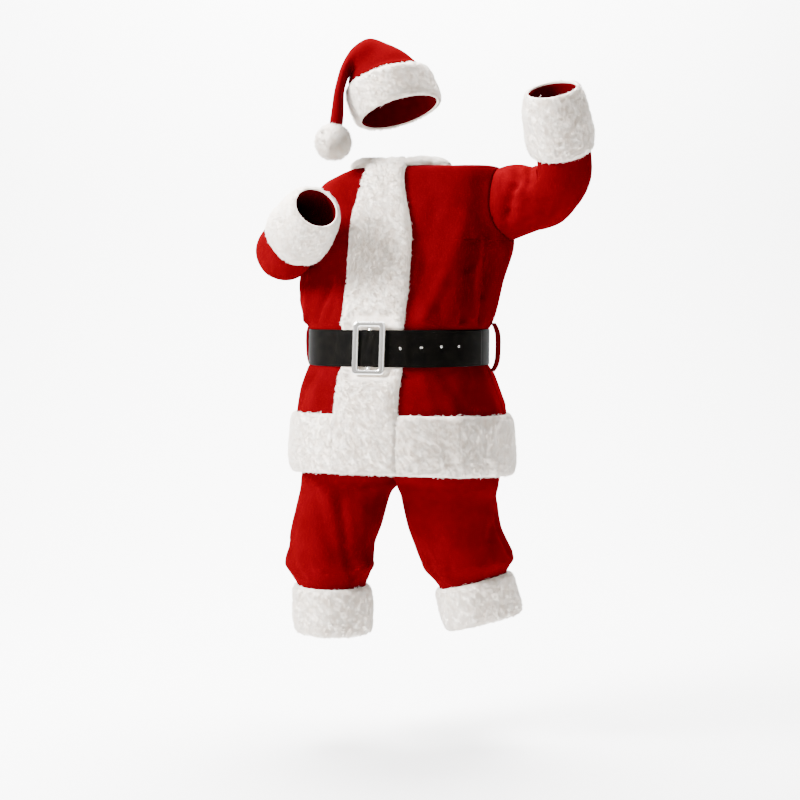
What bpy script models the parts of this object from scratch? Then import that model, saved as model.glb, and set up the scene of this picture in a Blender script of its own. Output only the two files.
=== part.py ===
"""Santa suit: belted jacket, trousers and hat in red plush with white fur trim, in its worn pose.

Metres, +Z up. The origin is the centre of the neck base, +X is the wearer's left and the front
faces -Y. Heights in the tables are above the wearer's soles.
"""
import math

import bmesh
import bpy
import numpy as np
from mathutils import Matrix

NECK_HEIGHT = 1.47        # from the wearer's soles to the origin
CLOTH = 0.0020            # wall of the plush
SEAM = 0.0003             # gap left between two pieces that are sewn or lie together
TURN = 2 * math.pi
RIGHT, LEFT = -1, 1       # sides of the wearer

BELT_HEIGHT = 1.0245      # middle of the belt
BELT_WIDTH = 0.091
BELT_THICK = 0.0028
BELT_START_ANGLE = math.radians(3.0)    # the strap is sewn round the buckle's bar here
BELT_TAIL_ANGLE = math.radians(80)      # and its tail ends here, over the first turn
BELT_PLACKET_ANGLE = math.radians(23)   # where the strap comes down off the placket
BUCKLE_WIDTH, BUCKLE_HEIGHT, BUCKLE_THICK = 0.084, 0.130, 0.005
BUCKLE_SIDE, BUCKLE_RAIL = 0.015, 0.0125
BUCKLE_BAR_WIDTH, BUCKLE_BAR_THICK = 0.008, 0.0025
STRAP_SLACK = 0.0002      # of the strap over the bar, which leans a little less than the strap
LOOP_ANGLE = math.radians(93)
LOOP_HEIGHT, LOOP_WIDTH, LOOP_THICK, LOOP_STAND = 0.122, 0.015, 0.0120, 0.0148

PLACKET_HALF = 0.083
COLLAR_PILE = 0.016
CUFF_LENGTH = 0.150       # fur cuff of a sleeve
FUR_PILE = 0.017          # depth of the fur trim
FUR_LUMP = 0.0018         # how uneven its surface is
FUR_TUFT = 0.045          # and the size of its tufts
FUR_OVERHANG = 0.004      # how far fur reaches past the cloth it is sewn on
UNDER_BELT = 0.0040       # fur pressed flat under the belt
UNDER_BUCKLE = 0.0045     # and behind the buckle's rails
STRAP_LIFT = 0.0012       # of the belt's underside off the jacket
STRAP_OVER_PLACKET = UNDER_BELT + 0.0007
LOOP_LIFT = 0.0004        # of the loops' sewn ends off the jacket
PLACKET_CLEARANCE = 0.0008  # between the placket and the hem band
COLLAR_GAP = 0.0015       # between the collar's two ends
WAISTBAND_THICK = 0.003
WAISTBAND_HEIGHT = 0.040
WAIST_GAP = 0.0010        # between the waistband, which leans with the jacket, and the trousers' level top
POMPOM_CORE, POMPOM_RADIUS = 0.030, 0.050
POMPOM_TUCK = 0.0011      # how far its core reaches up inside the hat's tip

RED = (0.36, 0.004, 0.010, 1.0)
WHITE = (0.86, 0.85, 0.82, 1.0)
BLACK = (0.012, 0.012, 0.013, 1.0)
SILVER = (0.78, 0.78, 0.80, 1.0)


# ---------------------------------------------------------------- tables and curves

def smooth_curve(stops, values, at, level=True):
    """Values at the places at, on a smooth curve through the rows. A level curve never overshoots."""
    slope = np.diff(values, axis=0) / np.diff(stops)[:, None]
    turn = np.empty_like(values)
    turn[0], turn[-1] = slope[0], slope[-1]
    if level:
        product = slope[:-1] * slope[1:]
        total = slope[:-1] + slope[1:]
        turn[1:-1] = np.where(product > 0, 2 * product / np.where(product > 0, total, 1), 0)
    else:
        turn[1:-1] = (slope[:-1] + slope[1:]) / 2
    row = np.clip(np.searchsorted(stops, at, side="right") - 1, 0, len(stops) - 2)
    span = (stops[row + 1] - stops[row])[:, None]
    t = (at - stops[row])[:, None] / span
    return ((2 * t ** 3 - 3 * t ** 2 + 1) * values[row] + (t ** 3 - 2 * t ** 2 + t) * span * turn[row]
            + (3 * t ** 2 - 2 * t ** 3) * values[row + 1] + (t ** 3 - t ** 2) * span * turn[row + 1])


class Sections:
    """Named rows of named sizes along a piece, read at any place from the first row, 0, to the last, 1."""

    def __init__(self, columns, rows, spaced_by, level=True):
        self.columns = columns
        self.level = level
        self.values = np.array([row[1:] for row in rows], dtype=float)
        picked = self.values[:, [columns.index(name) for name in spaced_by]]
        steps = np.linalg.norm(np.diff(picked, axis=0), axis=1)
        self.length = steps.sum()
        self.stops = np.concatenate([[0], np.cumsum(steps)]) / self.length
        self.place = {row[0]: stop for row, stop in zip(rows, self.stops)}

    def at(self, place):
        values = smooth_curve(self.stops, self.values, place, self.level)
        return {name: values[:, i] for i, name in enumerate(self.columns)}


def ease(t):
    """0 to 1, smoothly, as t goes from 0 to 1."""
    t = np.clip(t, 0, 1)
    return t * t * (3 - 2 * t)


def unit(vectors):
    return vectors / np.linalg.norm(vectors, axis=-1, keepdims=True)


def normals(surface, a, b, step=1e-4):
    """Outward normals of a surface whose a runs anticlockwise seen from above and whose b runs up."""
    along = surface(a + step, b) - surface(a - step, b)
    up = surface(a, b + step) - surface(a, b - step)
    return unit(np.cross(along, up))


def lumps(points, size):
    """A soft uneven swelling from -1 to 1 over white fur, its tufts about size across."""
    x, y, z = (points / size * TURN / 2).T
    return (np.sin(x + 1.7 * np.sin(0.8 * z)) + np.sin(1.1 * z + 1.3 * np.sin(0.9 * y))
            + np.sin(1.2 * y + 1.1 * x)) / 3


# ---------------------------------------------------------------- jacket surface

SQUARENESS = 2.25         # above 2, so that the trunk is fuller at its corners than an ellipse

JACKET = Sections(
    ("height", "left", "right", "front", "back", "raise_left", "raise_front"),
    [("fur_edge",     0.698, 0.284, 0.262, 0.262, 0.205, 0, 0.025),
     ("hem",          0.703, 0.284, 0.262, 0.262, 0.205, 0, 0.025),
     ("fur_top",      0.852, 0.275, 0.258, 0.250, 0.198, 0, 0.014),
     ("hip",          0.918, 0.253, 0.250, 0.238, 0.190, 0, 0),
     ("under_belt",   0.970, 0.232, 0.233, 0.2125, 0.180, 0, 0),
     ("belt_bottom",  0.983, 0.225, 0.226, 0.210, 0.174, 0, 0),
     ("belt_top",     1.066, 0.226, 0.226, 0.202, 0.170, 0, 0),
     ("over_belt",    1.079, 0.234, 0.236, 0.202, 0.174, 0, 0),
     ("waist",        1.110, 0.247, 0.251, 0.190, 0.176, 0, 0),
     ("chest",        1.190, 0.268, 0.270, 0.162, 0.172, 0, 0),
     ("underarm",     1.290, 0.296, 0.238, 0.144, 0.165, 0, 0),
     ("mid_armhole",  1.375, 0.290, 0.224, 0.138, 0.158, 0.012, 0),
     ("shoulder_tip", 1.432, 0.262, 0.206, 0.120, 0.138, 0.036, 0),
     ("shoulder",     1.458, 0.190, 0.160, 0.106, 0.120, 0.018, 0),
     ("neck_slope",   1.472, 0.128, 0.124, 0.092, 0.104, 0.004, 0),
     ("neck",         1.488, 0.080, 0.080, 0.078, 0.080, 0, 0)],
    spaced_by=("height", "right"))

# The largest folds of the jacket: soft troughs (minus) and ridges (plus) along straight runs.
# Angles are degrees round the body from centre front towards the wearer's left.
JACKET_FOLDS = [
    # from_angle, from_height, to_angle, to_height, depth, half_width
    (72, 1.40, 66, 1.24, -0.008, 0.016),
    (66, 1.24, 66, 1.10, -0.007, 0.016),
    (74, 1.32, 77, 1.10, -0.008, 0.014),
    (63, 1.33, 55, 1.14, 0.006, 0.024),
    (86, 1.26, 88, 1.11, 0.005, 0.016),
    (36, 1.30, 40, 1.12, -0.004, 0.022),
    (-42, 1.18, -50, 1.09, -0.006, 0.020),
    (-66, 1.22, -62, 1.09, 0.005, 0.022),
    (-80, 1.20, -84, 1.08, -0.007, 0.020),
    (118, 1.32, 128, 1.08, -0.008, 0.024),
    (150, 1.26, 146, 1.09, 0.006, 0.024),
    (-124, 1.30, -134, 1.08, -0.008, 0.024),
    (-158, 1.22, -152, 1.09, 0.006, 0.024),
    (48, 0.960, 54, 0.87, -0.006, 0.018),
    (-46, 0.960, -54, 0.87, -0.006, 0.018),
    (78, 0.960, 80, 0.86, 0.005, 0.020),
    (122, 0.960, 126, 0.86, -0.007, 0.022),
    (-114, 0.960, -118, 0.86, -0.006, 0.020),
    (-142, 0.960, -140, 0.86, 0.006, 0.022),
]
GIRTH_RADIUS = 0.23       # turns the folds' angles into lengths round the body


def jacket_radius(angle, rows):
    """Distance from the body's axis, fuller than an ellipse between the four half widths."""
    side = np.where(np.sin(angle) > 0, rows["left"], rows["right"])
    deep = np.where(np.cos(angle) > 0, rows["front"], rows["back"])
    return (np.abs(np.sin(angle) / side) ** SQUARENESS
            + np.abs(np.cos(angle) / deep) ** SQUARENESS) ** (-1 / SQUARENESS)


def jacket_smooth(angle, place):
    rows = JACKET.at(place)
    radius = jacket_radius(angle, rows)
    raised = (rows["raise_left"] * ((1 + np.sin(angle)) / 2) ** 2
              + rows["raise_front"] * ((1 + np.cos(angle)) / 2) ** 2)
    return np.stack([radius * np.sin(angle), -radius * np.cos(angle),
                     rows["height"] + raised - NECK_HEIGHT], axis=-1)


def fold_relief(angle, height, folds, girth_radius):
    """How far the folds move the cloth out, at each angle round and height."""
    relief = np.zeros_like(angle)
    for from_angle, from_height, to_angle, to_height, depth, half_width in folds:
        start = math.radians(from_angle)
        run = np.array([(math.radians(to_angle) - start) * girth_radius, to_height - from_height])
        across = ((angle - start + math.pi) % TURN - math.pi) * girth_radius
        point = np.stack([across, height - from_height], axis=-1)
        t = np.clip(point @ run / (run @ run), 0, 1)
        distance = np.linalg.norm(point - t[:, None] * run, axis=1)
        relief += depth * np.exp(-(distance / half_width) ** 2)
    return relief


def jacket(angle, place):
    """The jacket's outer surface with its folds, which the belt flattens."""
    height = JACKET.at(place)["height"]
    off_belt = ease((np.abs(height - BELT_HEIGHT) - BELT_WIDTH / 2 - 0.002) / 0.020)
    relief = fold_relief(angle, height, JACKET_FOLDS, GIRTH_RADIUS) * off_belt
    return jacket_smooth(angle, place) + relief[:, None] * normals(jacket_smooth, angle, place)


FINE_PLACES = np.linspace(0, 1, 400)
FINE_HEIGHTS = JACKET.at(FINE_PLACES)["height"]


def jacket_place(height):
    return np.interp(height, FINE_HEIGHTS, FINE_PLACES)


# ---------------------------------------------------------------- armholes

ARMHOLE_MIDDLE = (JACKET.place["underarm"] + JACKET.place["shoulder_tip"]) / 2
ARMHOLE_HALF = (JACKET.place["shoulder_tip"] - JACKET.place["underarm"]) / 2
ARMHOLE_ROWS = 8
ARMHOLE_HALF_ANGLE = {LEFT: math.radians(15.5), RIGHT: math.radians(19.0)}


def armhole_edge(place, side, front):
    """Angle of a body panel's side edge: the side seam, then the armhole, then the shoulder seam."""
    height_in_hole = np.clip((place - ARMHOLE_MIDDLE) / ARMHOLE_HALF, -1, 1)
    opening = ARMHOLE_HALF_ANGLE[side] * np.sqrt(1 - height_in_hole ** 2)
    seam = SEAM / 2 / JACKET.at(place)["right"]
    back_off = opening + seam
    return side * (math.pi / 2 - back_off if front else math.pi / 2 + back_off)


PLACKET_LAPS = np.array([0, 0.5, 0.86, 1])
SIDE_LAPS = np.linspace(1, 2, 7)
BACK_LAPS = np.linspace(2, 3, 17)


def placket_half_angle(place):
    """Half of the angle that the placket's width takes up, less towards the neck."""
    rows = JACKET.at(place)
    half = PLACKET_HALF * (1 - 0.35 * ease((rows["height"] - 1.30) / 0.15))
    return np.arctan2(half, rows["front"])


def body_angle(lap, place, back=False, centre_gap=0.0):
    """Angle round the body for a lap from 0 at centre front, by the wearer's left, to 5.

    Laps 1 and 4 are the placket's edges, 2 and 3 the side edges of the fronts or of the back.
    """
    placket = placket_half_angle(place)
    gap = centre_gap / JACKET.at(place)["front"]
    left, right = (armhole_edge(place, side, not back) for side in (LEFT, RIGHT))
    knots = np.stack([gap, placket, left, TURN + right, TURN - placket, TURN - gap])
    first = np.clip(np.floor(lap).astype(int), 0, 4)
    share = lap - first
    points = np.arange(len(place))
    return knots[first, points] * (1 - share) + knots[first + 1, points] * share


def armhole_ring(turn, side, inset):
    """Points round an armhole, turn running from the front over the shoulder to the back."""
    angle = side * (math.pi / 2 - (ARMHOLE_HALF_ANGLE[side] - inset / 0.2) * np.cos(turn))
    place = ARMHOLE_MIDDLE + (ARMHOLE_HALF - inset / JACKET.length) * np.sin(turn)
    return jacket(angle, place)


# ---------------------------------------------------------------- sleeves

SLEEVES = {
    LEFT: Sections(
        ("x", "y", "height", "inner", "outer", "across"),
        [("armhole",   0.288, 0.000, 1.383, 0.080, 0.090, 0.075),
         ("upper_arm", 0.340, -0.016, 1.399, 0.072, 0.090, 0.080),
         ("above_bend", 0.392, -0.033, 1.413, 0.058, 0.084, 0.080),
         ("elbow",     0.430, -0.052, 1.437, 0.056, 0.074, 0.078),
         ("below_bend", 0.443, -0.075, 1.479, 0.060, 0.068, 0.073),
         ("forearm",   0.440, -0.110, 1.550, 0.066, 0.066, 0.068),
         ("opening",   0.436, -0.150, 1.633, 0.058, 0.058, 0.058)],
        spaced_by=("x", "y", "height"), level=False),
    RIGHT: Sections(
        ("x", "y", "height", "inner", "outer", "across"),
        [("armhole",  -0.222, 0.000, 1.365, 0.075, 0.080, 0.080),
         ("upper_arm", -0.252, -0.028, 1.330, 0.070, 0.080, 0.080),
         ("above_bend", -0.262, -0.077, 1.290, 0.060, 0.078, 0.076),
         ("elbow",    -0.262, -0.127, 1.265, 0.056, 0.074, 0.074),
         ("below_bend", -0.232, -0.176, 1.276, 0.060, 0.070, 0.072),
         ("forearm",  -0.168, -0.238, 1.316, 0.064, 0.064, 0.066),
         ("opening",  -0.104, -0.302, 1.361, 0.050, 0.050, 0.052)],
        spaced_by=("x", "y", "height"), level=False),
}
# The elbow's axis, which each sleeve bends about, and the turn round the armhole that it points to.
ELBOW_AXIS = {LEFT: np.array([-0.159, -0.840, -0.415]), RIGHT: np.array([-0.705, -0.268, 0.644])}
ELBOW_AXIS_TURN = {LEFT: math.radians(-26), RIGHT: math.radians(90)}
SLEEVE_HEAD = 0.30        # part of the sleeve's length over which the armhole's shape fades out
BODY_CLEARANCE = 0.005    # between a sleeve and the side of the body

SLEEVE_FOLDS = {
    # from_turn in degrees, from_length, to_turn, to_length, depth, half_width (lengths in metres)
    LEFT: [(60, 0.02, 20, 0.10, -0.007, 0.014), (110, 0.07, 20, 0.12, -0.006, 0.013),
           (-30, 0.03, -60, 0.12, 0.006, 0.016), (200, 0.04, 230, 0.15, -0.006, 0.016)],
    RIGHT: [(40, 0.05, -10, 0.12, -0.006, 0.014), (150, 0.04, 220, 0.12, -0.007, 0.016),
            (-60, 0.13, 20, 0.15, -0.006, 0.013), (250, 0.10, 180, 0.16, 0.005, 0.016)],
}
SLEEVE_RADIUS = 0.075


def sleeve_centre(place, side):
    rows = SLEEVES[side].at(place)
    return np.stack([rows["x"], rows["y"], rows["height"] - NECK_HEIGHT], axis=-1)


def clear_of_body(points, clearance):
    """Move points that would lie in the trunk straight out from its axis, to just clear of it."""
    place = jacket_place(points[:, 2] + NECK_HEIGHT)
    angle = np.arctan2(points[:, 0], -points[:, 1])
    reach = np.hypot(points[:, 0], points[:, 1])
    least = np.hypot(*jacket(angle, place)[:, :2].T) + clearance
    below_armhole = place < ARMHOLE_MIDDLE
    scale = np.where(below_armhole & (reach < least), least / reach, 1)
    moved = points.copy()
    moved[:, :2] *= scale[:, None]
    return moved


def sleeve_surface(side):
    """The outer surface of a sleeve, by the angle round it and the place along it from the armhole."""
    table = SLEEVES[side]

    def tube(turn, place):
        rows = table.at(place)
        along = unit(sleeve_centre(place + 1e-3, side) - sleeve_centre(place - 1e-3, side))
        axis = unit(ELBOW_AXIS[side] - (along @ ELBOW_AXIS[side])[:, None] * along)
        inward = np.cross(axis, along)
        offset = turn - ELBOW_AXIS_TURN[side]
        in_plane = side * np.sin(offset)
        radius = np.where(in_plane > 0, rows["inner"], rows["outer"])
        return (sleeve_centre(place, side) + axis * (rows["across"] * np.cos(offset))[:, None]
                + inward * (radius * in_plane)[:, None])

    def surface(around, place):
        turn = -side * around
        head = ease(place / SLEEVE_HEAD)[:, None]
        ring = armhole_ring(turn, side, inset=0.0006)
        start = sleeve_centre(np.zeros_like(place), side)
        moved = ring + sleeve_centre(place, side) - start
        points = (1 - head) * moved + head * tube(turn, place)
        length = place * table.length
        relief = fold_relief(turn, length, SLEEVE_FOLDS[side], SLEEVE_RADIUS)
        outward = unit(points - sleeve_centre(place, side))
        points = points + outward * relief[:, None]
        return clear_of_body(points, BODY_CLEARANCE * ease(place / 0.08))

    return surface


# ---------------------------------------------------------------- trousers

TROUSER_INSET = 0.016     # between the jacket and the trousers' hips
WAIST_INSET = 0.0014      # the jacket's wall is this far out between the belt's edges, less the seam
LEG_TOP_INSET = 0.0038    # under the waistband
CROTCH_TOP = 0.850        # height at which the centre seam has reached the front and back
HIP_HEIGHTS = np.array([0.87, 0.932, 0.951, 0.964, 0.9785])
WAIST_HEIGHT = 1.002

LEG_COLUMNS = ("height", "x", "y", "half_width", "half_depth", "tilt")
LEGS = {
    RIGHT: Sections(LEG_COLUMNS, [
        ("bottom",    0.296, -0.161, -0.058, 0.088, 0.090, 0.02),
        ("cuff_top",  0.412, -0.168, -0.052, 0.088, 0.090, 0.02),
        ("gather",    0.428, -0.171, -0.050, 0.096, 0.098, 0.02),
        ("blouse",    0.466, -0.176, -0.043, 0.113, 0.117, 0),
        ("shin",      0.510, -0.174, -0.035, 0.111, 0.116, 0),
        ("knee",      0.572, -0.163, -0.020, 0.116, 0.120, 0),
        ("thigh",     0.645, -0.147, -0.010, 0.118, 0.128, 0),
        ("crotch",    0.682, -0.130, -0.008, 0.1295, 0.136, 0),
        ("hip",       0.800, -0.124, -0.010, 0.1235, 0.150, 0)], spaced_by=("height",)),
    LEFT: Sections(LEG_COLUMNS, [
        ("bottom",    0.322, 0.204, 0.074, 0.086, 0.090, 0.29),
        ("cuff_top",  0.424, 0.179, 0.060, 0.086, 0.090, 0.27),
        ("gather",    0.440, 0.177, 0.056, 0.094, 0.097, 0.22),
        ("blouse",    0.474, 0.169, 0.045, 0.116, 0.117, 0.12),
        ("shin",      0.520, 0.153, 0.033, 0.116, 0.117, 0.05),
        ("knee",      0.572, 0.137, 0.020, 0.117, 0.120, 0),
        ("thigh",     0.645, 0.130, 0.004, 0.120, 0.128, 0),
        ("crotch",    0.682, 0.130, -0.006, 0.1295, 0.136, 0),
        ("hip",       0.800, 0.124, -0.010, 0.1235, 0.150, 0)], spaced_by=("height",)),
}
LEG_RADIUS = 0.115
LEG_FOLDS = {
    # angle in degrees from the inseam by the front, height
    RIGHT: [(120, 0.68, 60, 0.50, -0.007, 0.018), (150, 0.52, 110, 0.45, -0.006, 0.014),
            (60, 0.60, 40, 0.47, 0.006, 0.018), (200, 0.62, 220, 0.47, -0.007, 0.018),
            (270, 0.64, 290, 0.48, -0.006, 0.020), (320, 0.56, 300, 0.46, 0.006, 0.018)],
    LEFT: [(110, 0.68, 60, 0.53, -0.007, 0.018), (170, 0.58, 130, 0.48, -0.007, 0.015),
           (50, 0.60, 70, 0.48, 0.006, 0.018), (210, 0.62, 200, 0.50, 0.006, 0.018),
           (270, 0.66, 250, 0.49, -0.006, 0.020), (320, 0.58, 300, 0.48, -0.006, 0.018)],
}


def leg_surface(side):
    """A trouser leg, by the angle from its inseam (from the front on the left leg, from the back's
    end on the right) and the height above the soles."""
    table = LEGS[side]
    heights = table.values[:, 0]

    def surface(around, height):
        turn = side * around
        rows = table.at(np.interp(height, heights, table.stops))
        relief = fold_relief(turn, height, LEG_FOLDS[side], LEG_RADIUS)
        relief = relief * ease((0.70 - height) / 0.04)
        sideways = -side * (rows["half_width"] + relief) * np.cos(turn)
        leg = np.stack([rows["x"] + sideways,
                        rows["y"] - (rows["half_depth"] + relief) * np.sin(turn),
                        height + side * rows["tilt"] * sideways - NECK_HEIGHT], axis=-1)
        inset = LEG_TOP_INSET + (TROUSER_INSET - LEG_TOP_INSET) * ease((0.983 - height) / 0.03)
        angle = side * turn / 2
        hip_place = jacket_place(np.maximum(height, 0.71))
        hips = jacket_smooth(angle, hip_place)
        hips = hips - inset[:, None] * normals(jacket_smooth, angle, hip_place)
        hips[:, 0] += side * SEAM / 2
        hips[:, 2] = height - NECK_HEIGHT
        rise = np.clip((height - rows_crotch) / (CROTCH_TOP - rows_crotch), 0, 1)
        open_part = ((1 - (1 - rise) ** 2) ** 0.9)[:, None]
        return (1 - open_part) * leg + open_part * hips

    rows_crotch = heights[[row for row, name in enumerate(table.place) if name == "crotch"][0]]
    return surface


# ---------------------------------------------------------------- hat

HAT_TURN = math.radians(20)   # the hat folds over in a plane turned this far from the front
HAT = Sections(
    ("in_side", "in_height", "out_side", "out_height", "depth_at", "half_depth", "lean"),
    [("edge",     -0.0970, 1.5900, 0.0920, 1.6400, -0.035, 0.104, 0.22),
     ("band_top", -0.1260, 1.6670, 0.0590, 1.7140, -0.030, 0.104, 0.22),
     ("crown",    -0.1290, 1.6830, 0.0425, 1.7310, -0.030, 0.094, 0.18),
     ("fold_a",   -0.1280, 1.6950, 0.0110, 1.7590, -0.030, 0.082, 0.11),
     ("fold_b",   -0.1255, 1.7015, -0.0295, 1.7800, -0.032, 0.070, 0.04),
     ("peak",     -0.1240, 1.7045, -0.0740, 1.7940, -0.036, 0.060, 0),
     ("over_a",   -0.1250, 1.7030, -0.1140, 1.7740, -0.042, 0.050, 0),
     ("over_b",   -0.1285, 1.6960, -0.1390, 1.7390, -0.050, 0.042, 0),
     ("tail_top", -0.1335, 1.6810, -0.1530, 1.7030, -0.060, 0.032, 0),
     ("tail_mid", -0.1390, 1.6490, -0.1645, 1.6550, -0.068, 0.025, 0),
     ("tail_low", -0.1395, 1.6080, -0.1710, 1.6080, -0.074, 0.020, 0),
     ("tail_end", -0.1415, 1.5780, -0.1750, 1.5780, -0.077, 0.016, 0),
     ("tip",      -0.1590, 1.5620, -0.1730, 1.5620, -0.080, 0.007, 0)],
    spaced_by=("out_side", "out_height"))


def hat_surface(turn, place):
    """The hat: rings that fan out round the fold, turn starting at the ring's outer end."""
    rows = HAT.at(place)
    centre_side = (rows["in_side"] + rows["out_side"]) / 2
    centre_height = (rows["in_height"] + rows["out_height"]) / 2
    sideways = centre_side + (rows["out_side"] - rows["in_side"]) / 2 * np.cos(turn)
    depth = rows["depth_at"] + rows["half_depth"] * np.sin(turn)
    height = centre_height + (rows["out_height"] - rows["in_height"]) / 2 * np.cos(turn)
    height = height - rows["lean"] * rows["half_depth"] * np.sin(turn)
    return np.stack([sideways * math.cos(HAT_TURN) - depth * math.sin(HAT_TURN),
                     sideways * math.sin(HAT_TURN) + depth * math.cos(HAT_TURN),
                     height - NECK_HEIGHT], axis=-1)


# ---------------------------------------------------------------- making the solids

def material(name, colour, roughness, metallic=0.0):
    made = bpy.data.materials.new(name)
    made.use_nodes = True
    shader = made.node_tree.nodes["Principled BSDF"]
    shader.inputs["Base Color"].default_value = colour
    shader.inputs["Roughness"].default_value = roughness
    shader.inputs["Metallic"].default_value = metallic
    made.diffuse_color = colour
    return made


def mesh_object(name, bm, finish, collection):
    mesh = bpy.data.meshes.new(name)
    bm.to_mesh(mesh)
    bm.free()
    mesh.materials.append(finish)
    made = bpy.data.objects.new(name, mesh)
    collection.objects.link(made)
    return made


def shell(name, surface, where, columns, rows, low, high, finish, collection, joined=None):
    """A closed wall over a surface, with its columns and rows at the given stops.

    where(column, row) gives the surface's own two coordinates. low and high are the wall's two
    faces, as distances out from the surface, each a number or a function of column, row and the
    points there. joined(row) says where the wall's two side edges are one, as round a tube.
    """
    last = len(columns) - 1
    bm = bmesh.new()
    across, up, outer = (bm.verts.layers.float.new(key) for key in ("across", "up", "outer"))
    bmesh.ops.create_grid(bm, x_segments=last, y_segments=len(rows) - 1, size=0.5)
    bmesh.ops.triangulate(bm, faces=bm.faces[:], quad_method="FIXED")
    sides = {}
    for vert in bm.verts:
        column, row = round((vert.co.x + 0.5) * last), round((vert.co.y + 0.5) * (len(rows) - 1))
        vert[across], vert[up], vert[outer] = column, row, 1
        if column in (0, last):
            sides[column, row] = vert
    if joined is not None:
        bmesh.ops.weld_verts(bm, targetmap={sides[last, row]: sides[0, row]
                                            for row, stop in enumerate(rows) if joined(stop)})
    wall = bmesh.ops.extrude_face_region(bm, geom=bm.faces[:])
    for part in wall["geom"]:
        if isinstance(part, bmesh.types.BMVert):
            part[outer] = 0
    column, row, side = (np.array([vert[layer] for vert in bm.verts]).round().astype(int)
                         for layer in (across, up, outer))
    u, v = columns[column], rows[row]
    a, b = where(u, v)
    points = surface(a, b)
    outward = normals(surface, a, b)
    lift = [face(u, v, points) if callable(face) else np.full_like(u, face) for face in (low, high)]
    placed = points + outward * np.where(side == 1, lift[1], lift[0])[:, None]
    for vert, point in zip(bm.verts, placed):
        vert.co = point
    bmesh.ops.recalc_face_normals(bm, faces=bm.faces[:])
    if bm.calc_volume(signed=True) < 0:
        bmesh.ops.reverse_faces(bm, faces=bm.faces[:])
    return mesh_object(name, bm, finish, collection)


def rounded(places, fullness=4.0, edge=0.22):
    """Thickness from edge at the sides of a fur strip to 1 in its middle, places going from 0 to 1."""
    return edge + (1 - edge) * np.maximum(0, 1 - np.abs(2 * places - 1) ** fullness) ** 0.5


def edge_spaced(first, last, count):
    """Stops that lie closer near both ends."""
    return first + (last - first) * (1 - np.cos(np.linspace(0, math.pi, count + 1))) / 2


def fur(first, last, depth):
    """The outer face of a strip of fur that runs between two row stops."""
    def face(u, v, points):
        return depth * rounded((v - first) / (last - first)) + FUR_LUMP * lumps(points, FUR_TUFT)
    return face


def everywhere(stop):
    """A wall that is closed all the way along."""
    return True


# The rows that the jacket's panels share with all that lies on them.
HEM_ROWS = edge_spaced(JACKET.place["hem"], JACKET.place["fur_top"], 4)
BELT_OFFSETS = np.array([0.046, LOOP_HEIGHT / 2, 0.073, 0.090])
BELT_ROWS = jacket_place(BELT_HEIGHT + np.concatenate([-BELT_OFFSETS[::-1], BELT_OFFSETS]))
LOOP_ENDS = jacket_place(BELT_HEIGHT + LOOP_HEIGHT * np.array([-0.5, 0.5]))
ARMHOLE_STOPS = ARMHOLE_MIDDLE - ARMHOLE_HALF * np.cos(np.linspace(0, math.pi, ARMHOLE_ROWS + 1))
COLLAR_ROWS = edge_spaced(JACKET.place["neck_slope"], 1, 4)
BODY_ROWS = np.concatenate([
    HEM_ROWS, [(HEM_ROWS[-1] + BELT_ROWS[0]) / 2], BELT_ROWS,
    np.linspace(BELT_ROWS[-1], ARMHOLE_STOPS[0], 7)[1:-1], ARMHOLE_STOPS,
    [JACKET.place["shoulder"]], COLLAR_ROWS])


def loop_chord(angle, share):
    """The straight surface between a belt loop's two sewn ends on the jacket."""
    low, high = (jacket(angle, np.full_like(angle, end)) for end in LOOP_ENDS)
    return low + (high - low) * share[:, None]


def loop_under(angle, share, points):
    return LOOP_LIFT + (LOOP_STAND - LOOP_LIFT) * (1 - np.abs(2 * share - 1) ** 3.4)


def build_jacket(red, collection):
    def panel(name, laps, back=False):
        def where(lap, place):
            return body_angle(lap, place, back, SEAM / 2), place
        shell(name, jacket, where, laps, BODY_ROWS, -CLOTH, 0, red, collection)

    panel("jacket_front_left", np.concatenate([PLACKET_LAPS, SIDE_LAPS[1:]]))
    panel("jacket_front_right", 5 - np.concatenate([PLACKET_LAPS, SIDE_LAPS[1:]])[::-1])
    panel("jacket_back", BACK_LAPS, back=True)


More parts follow.
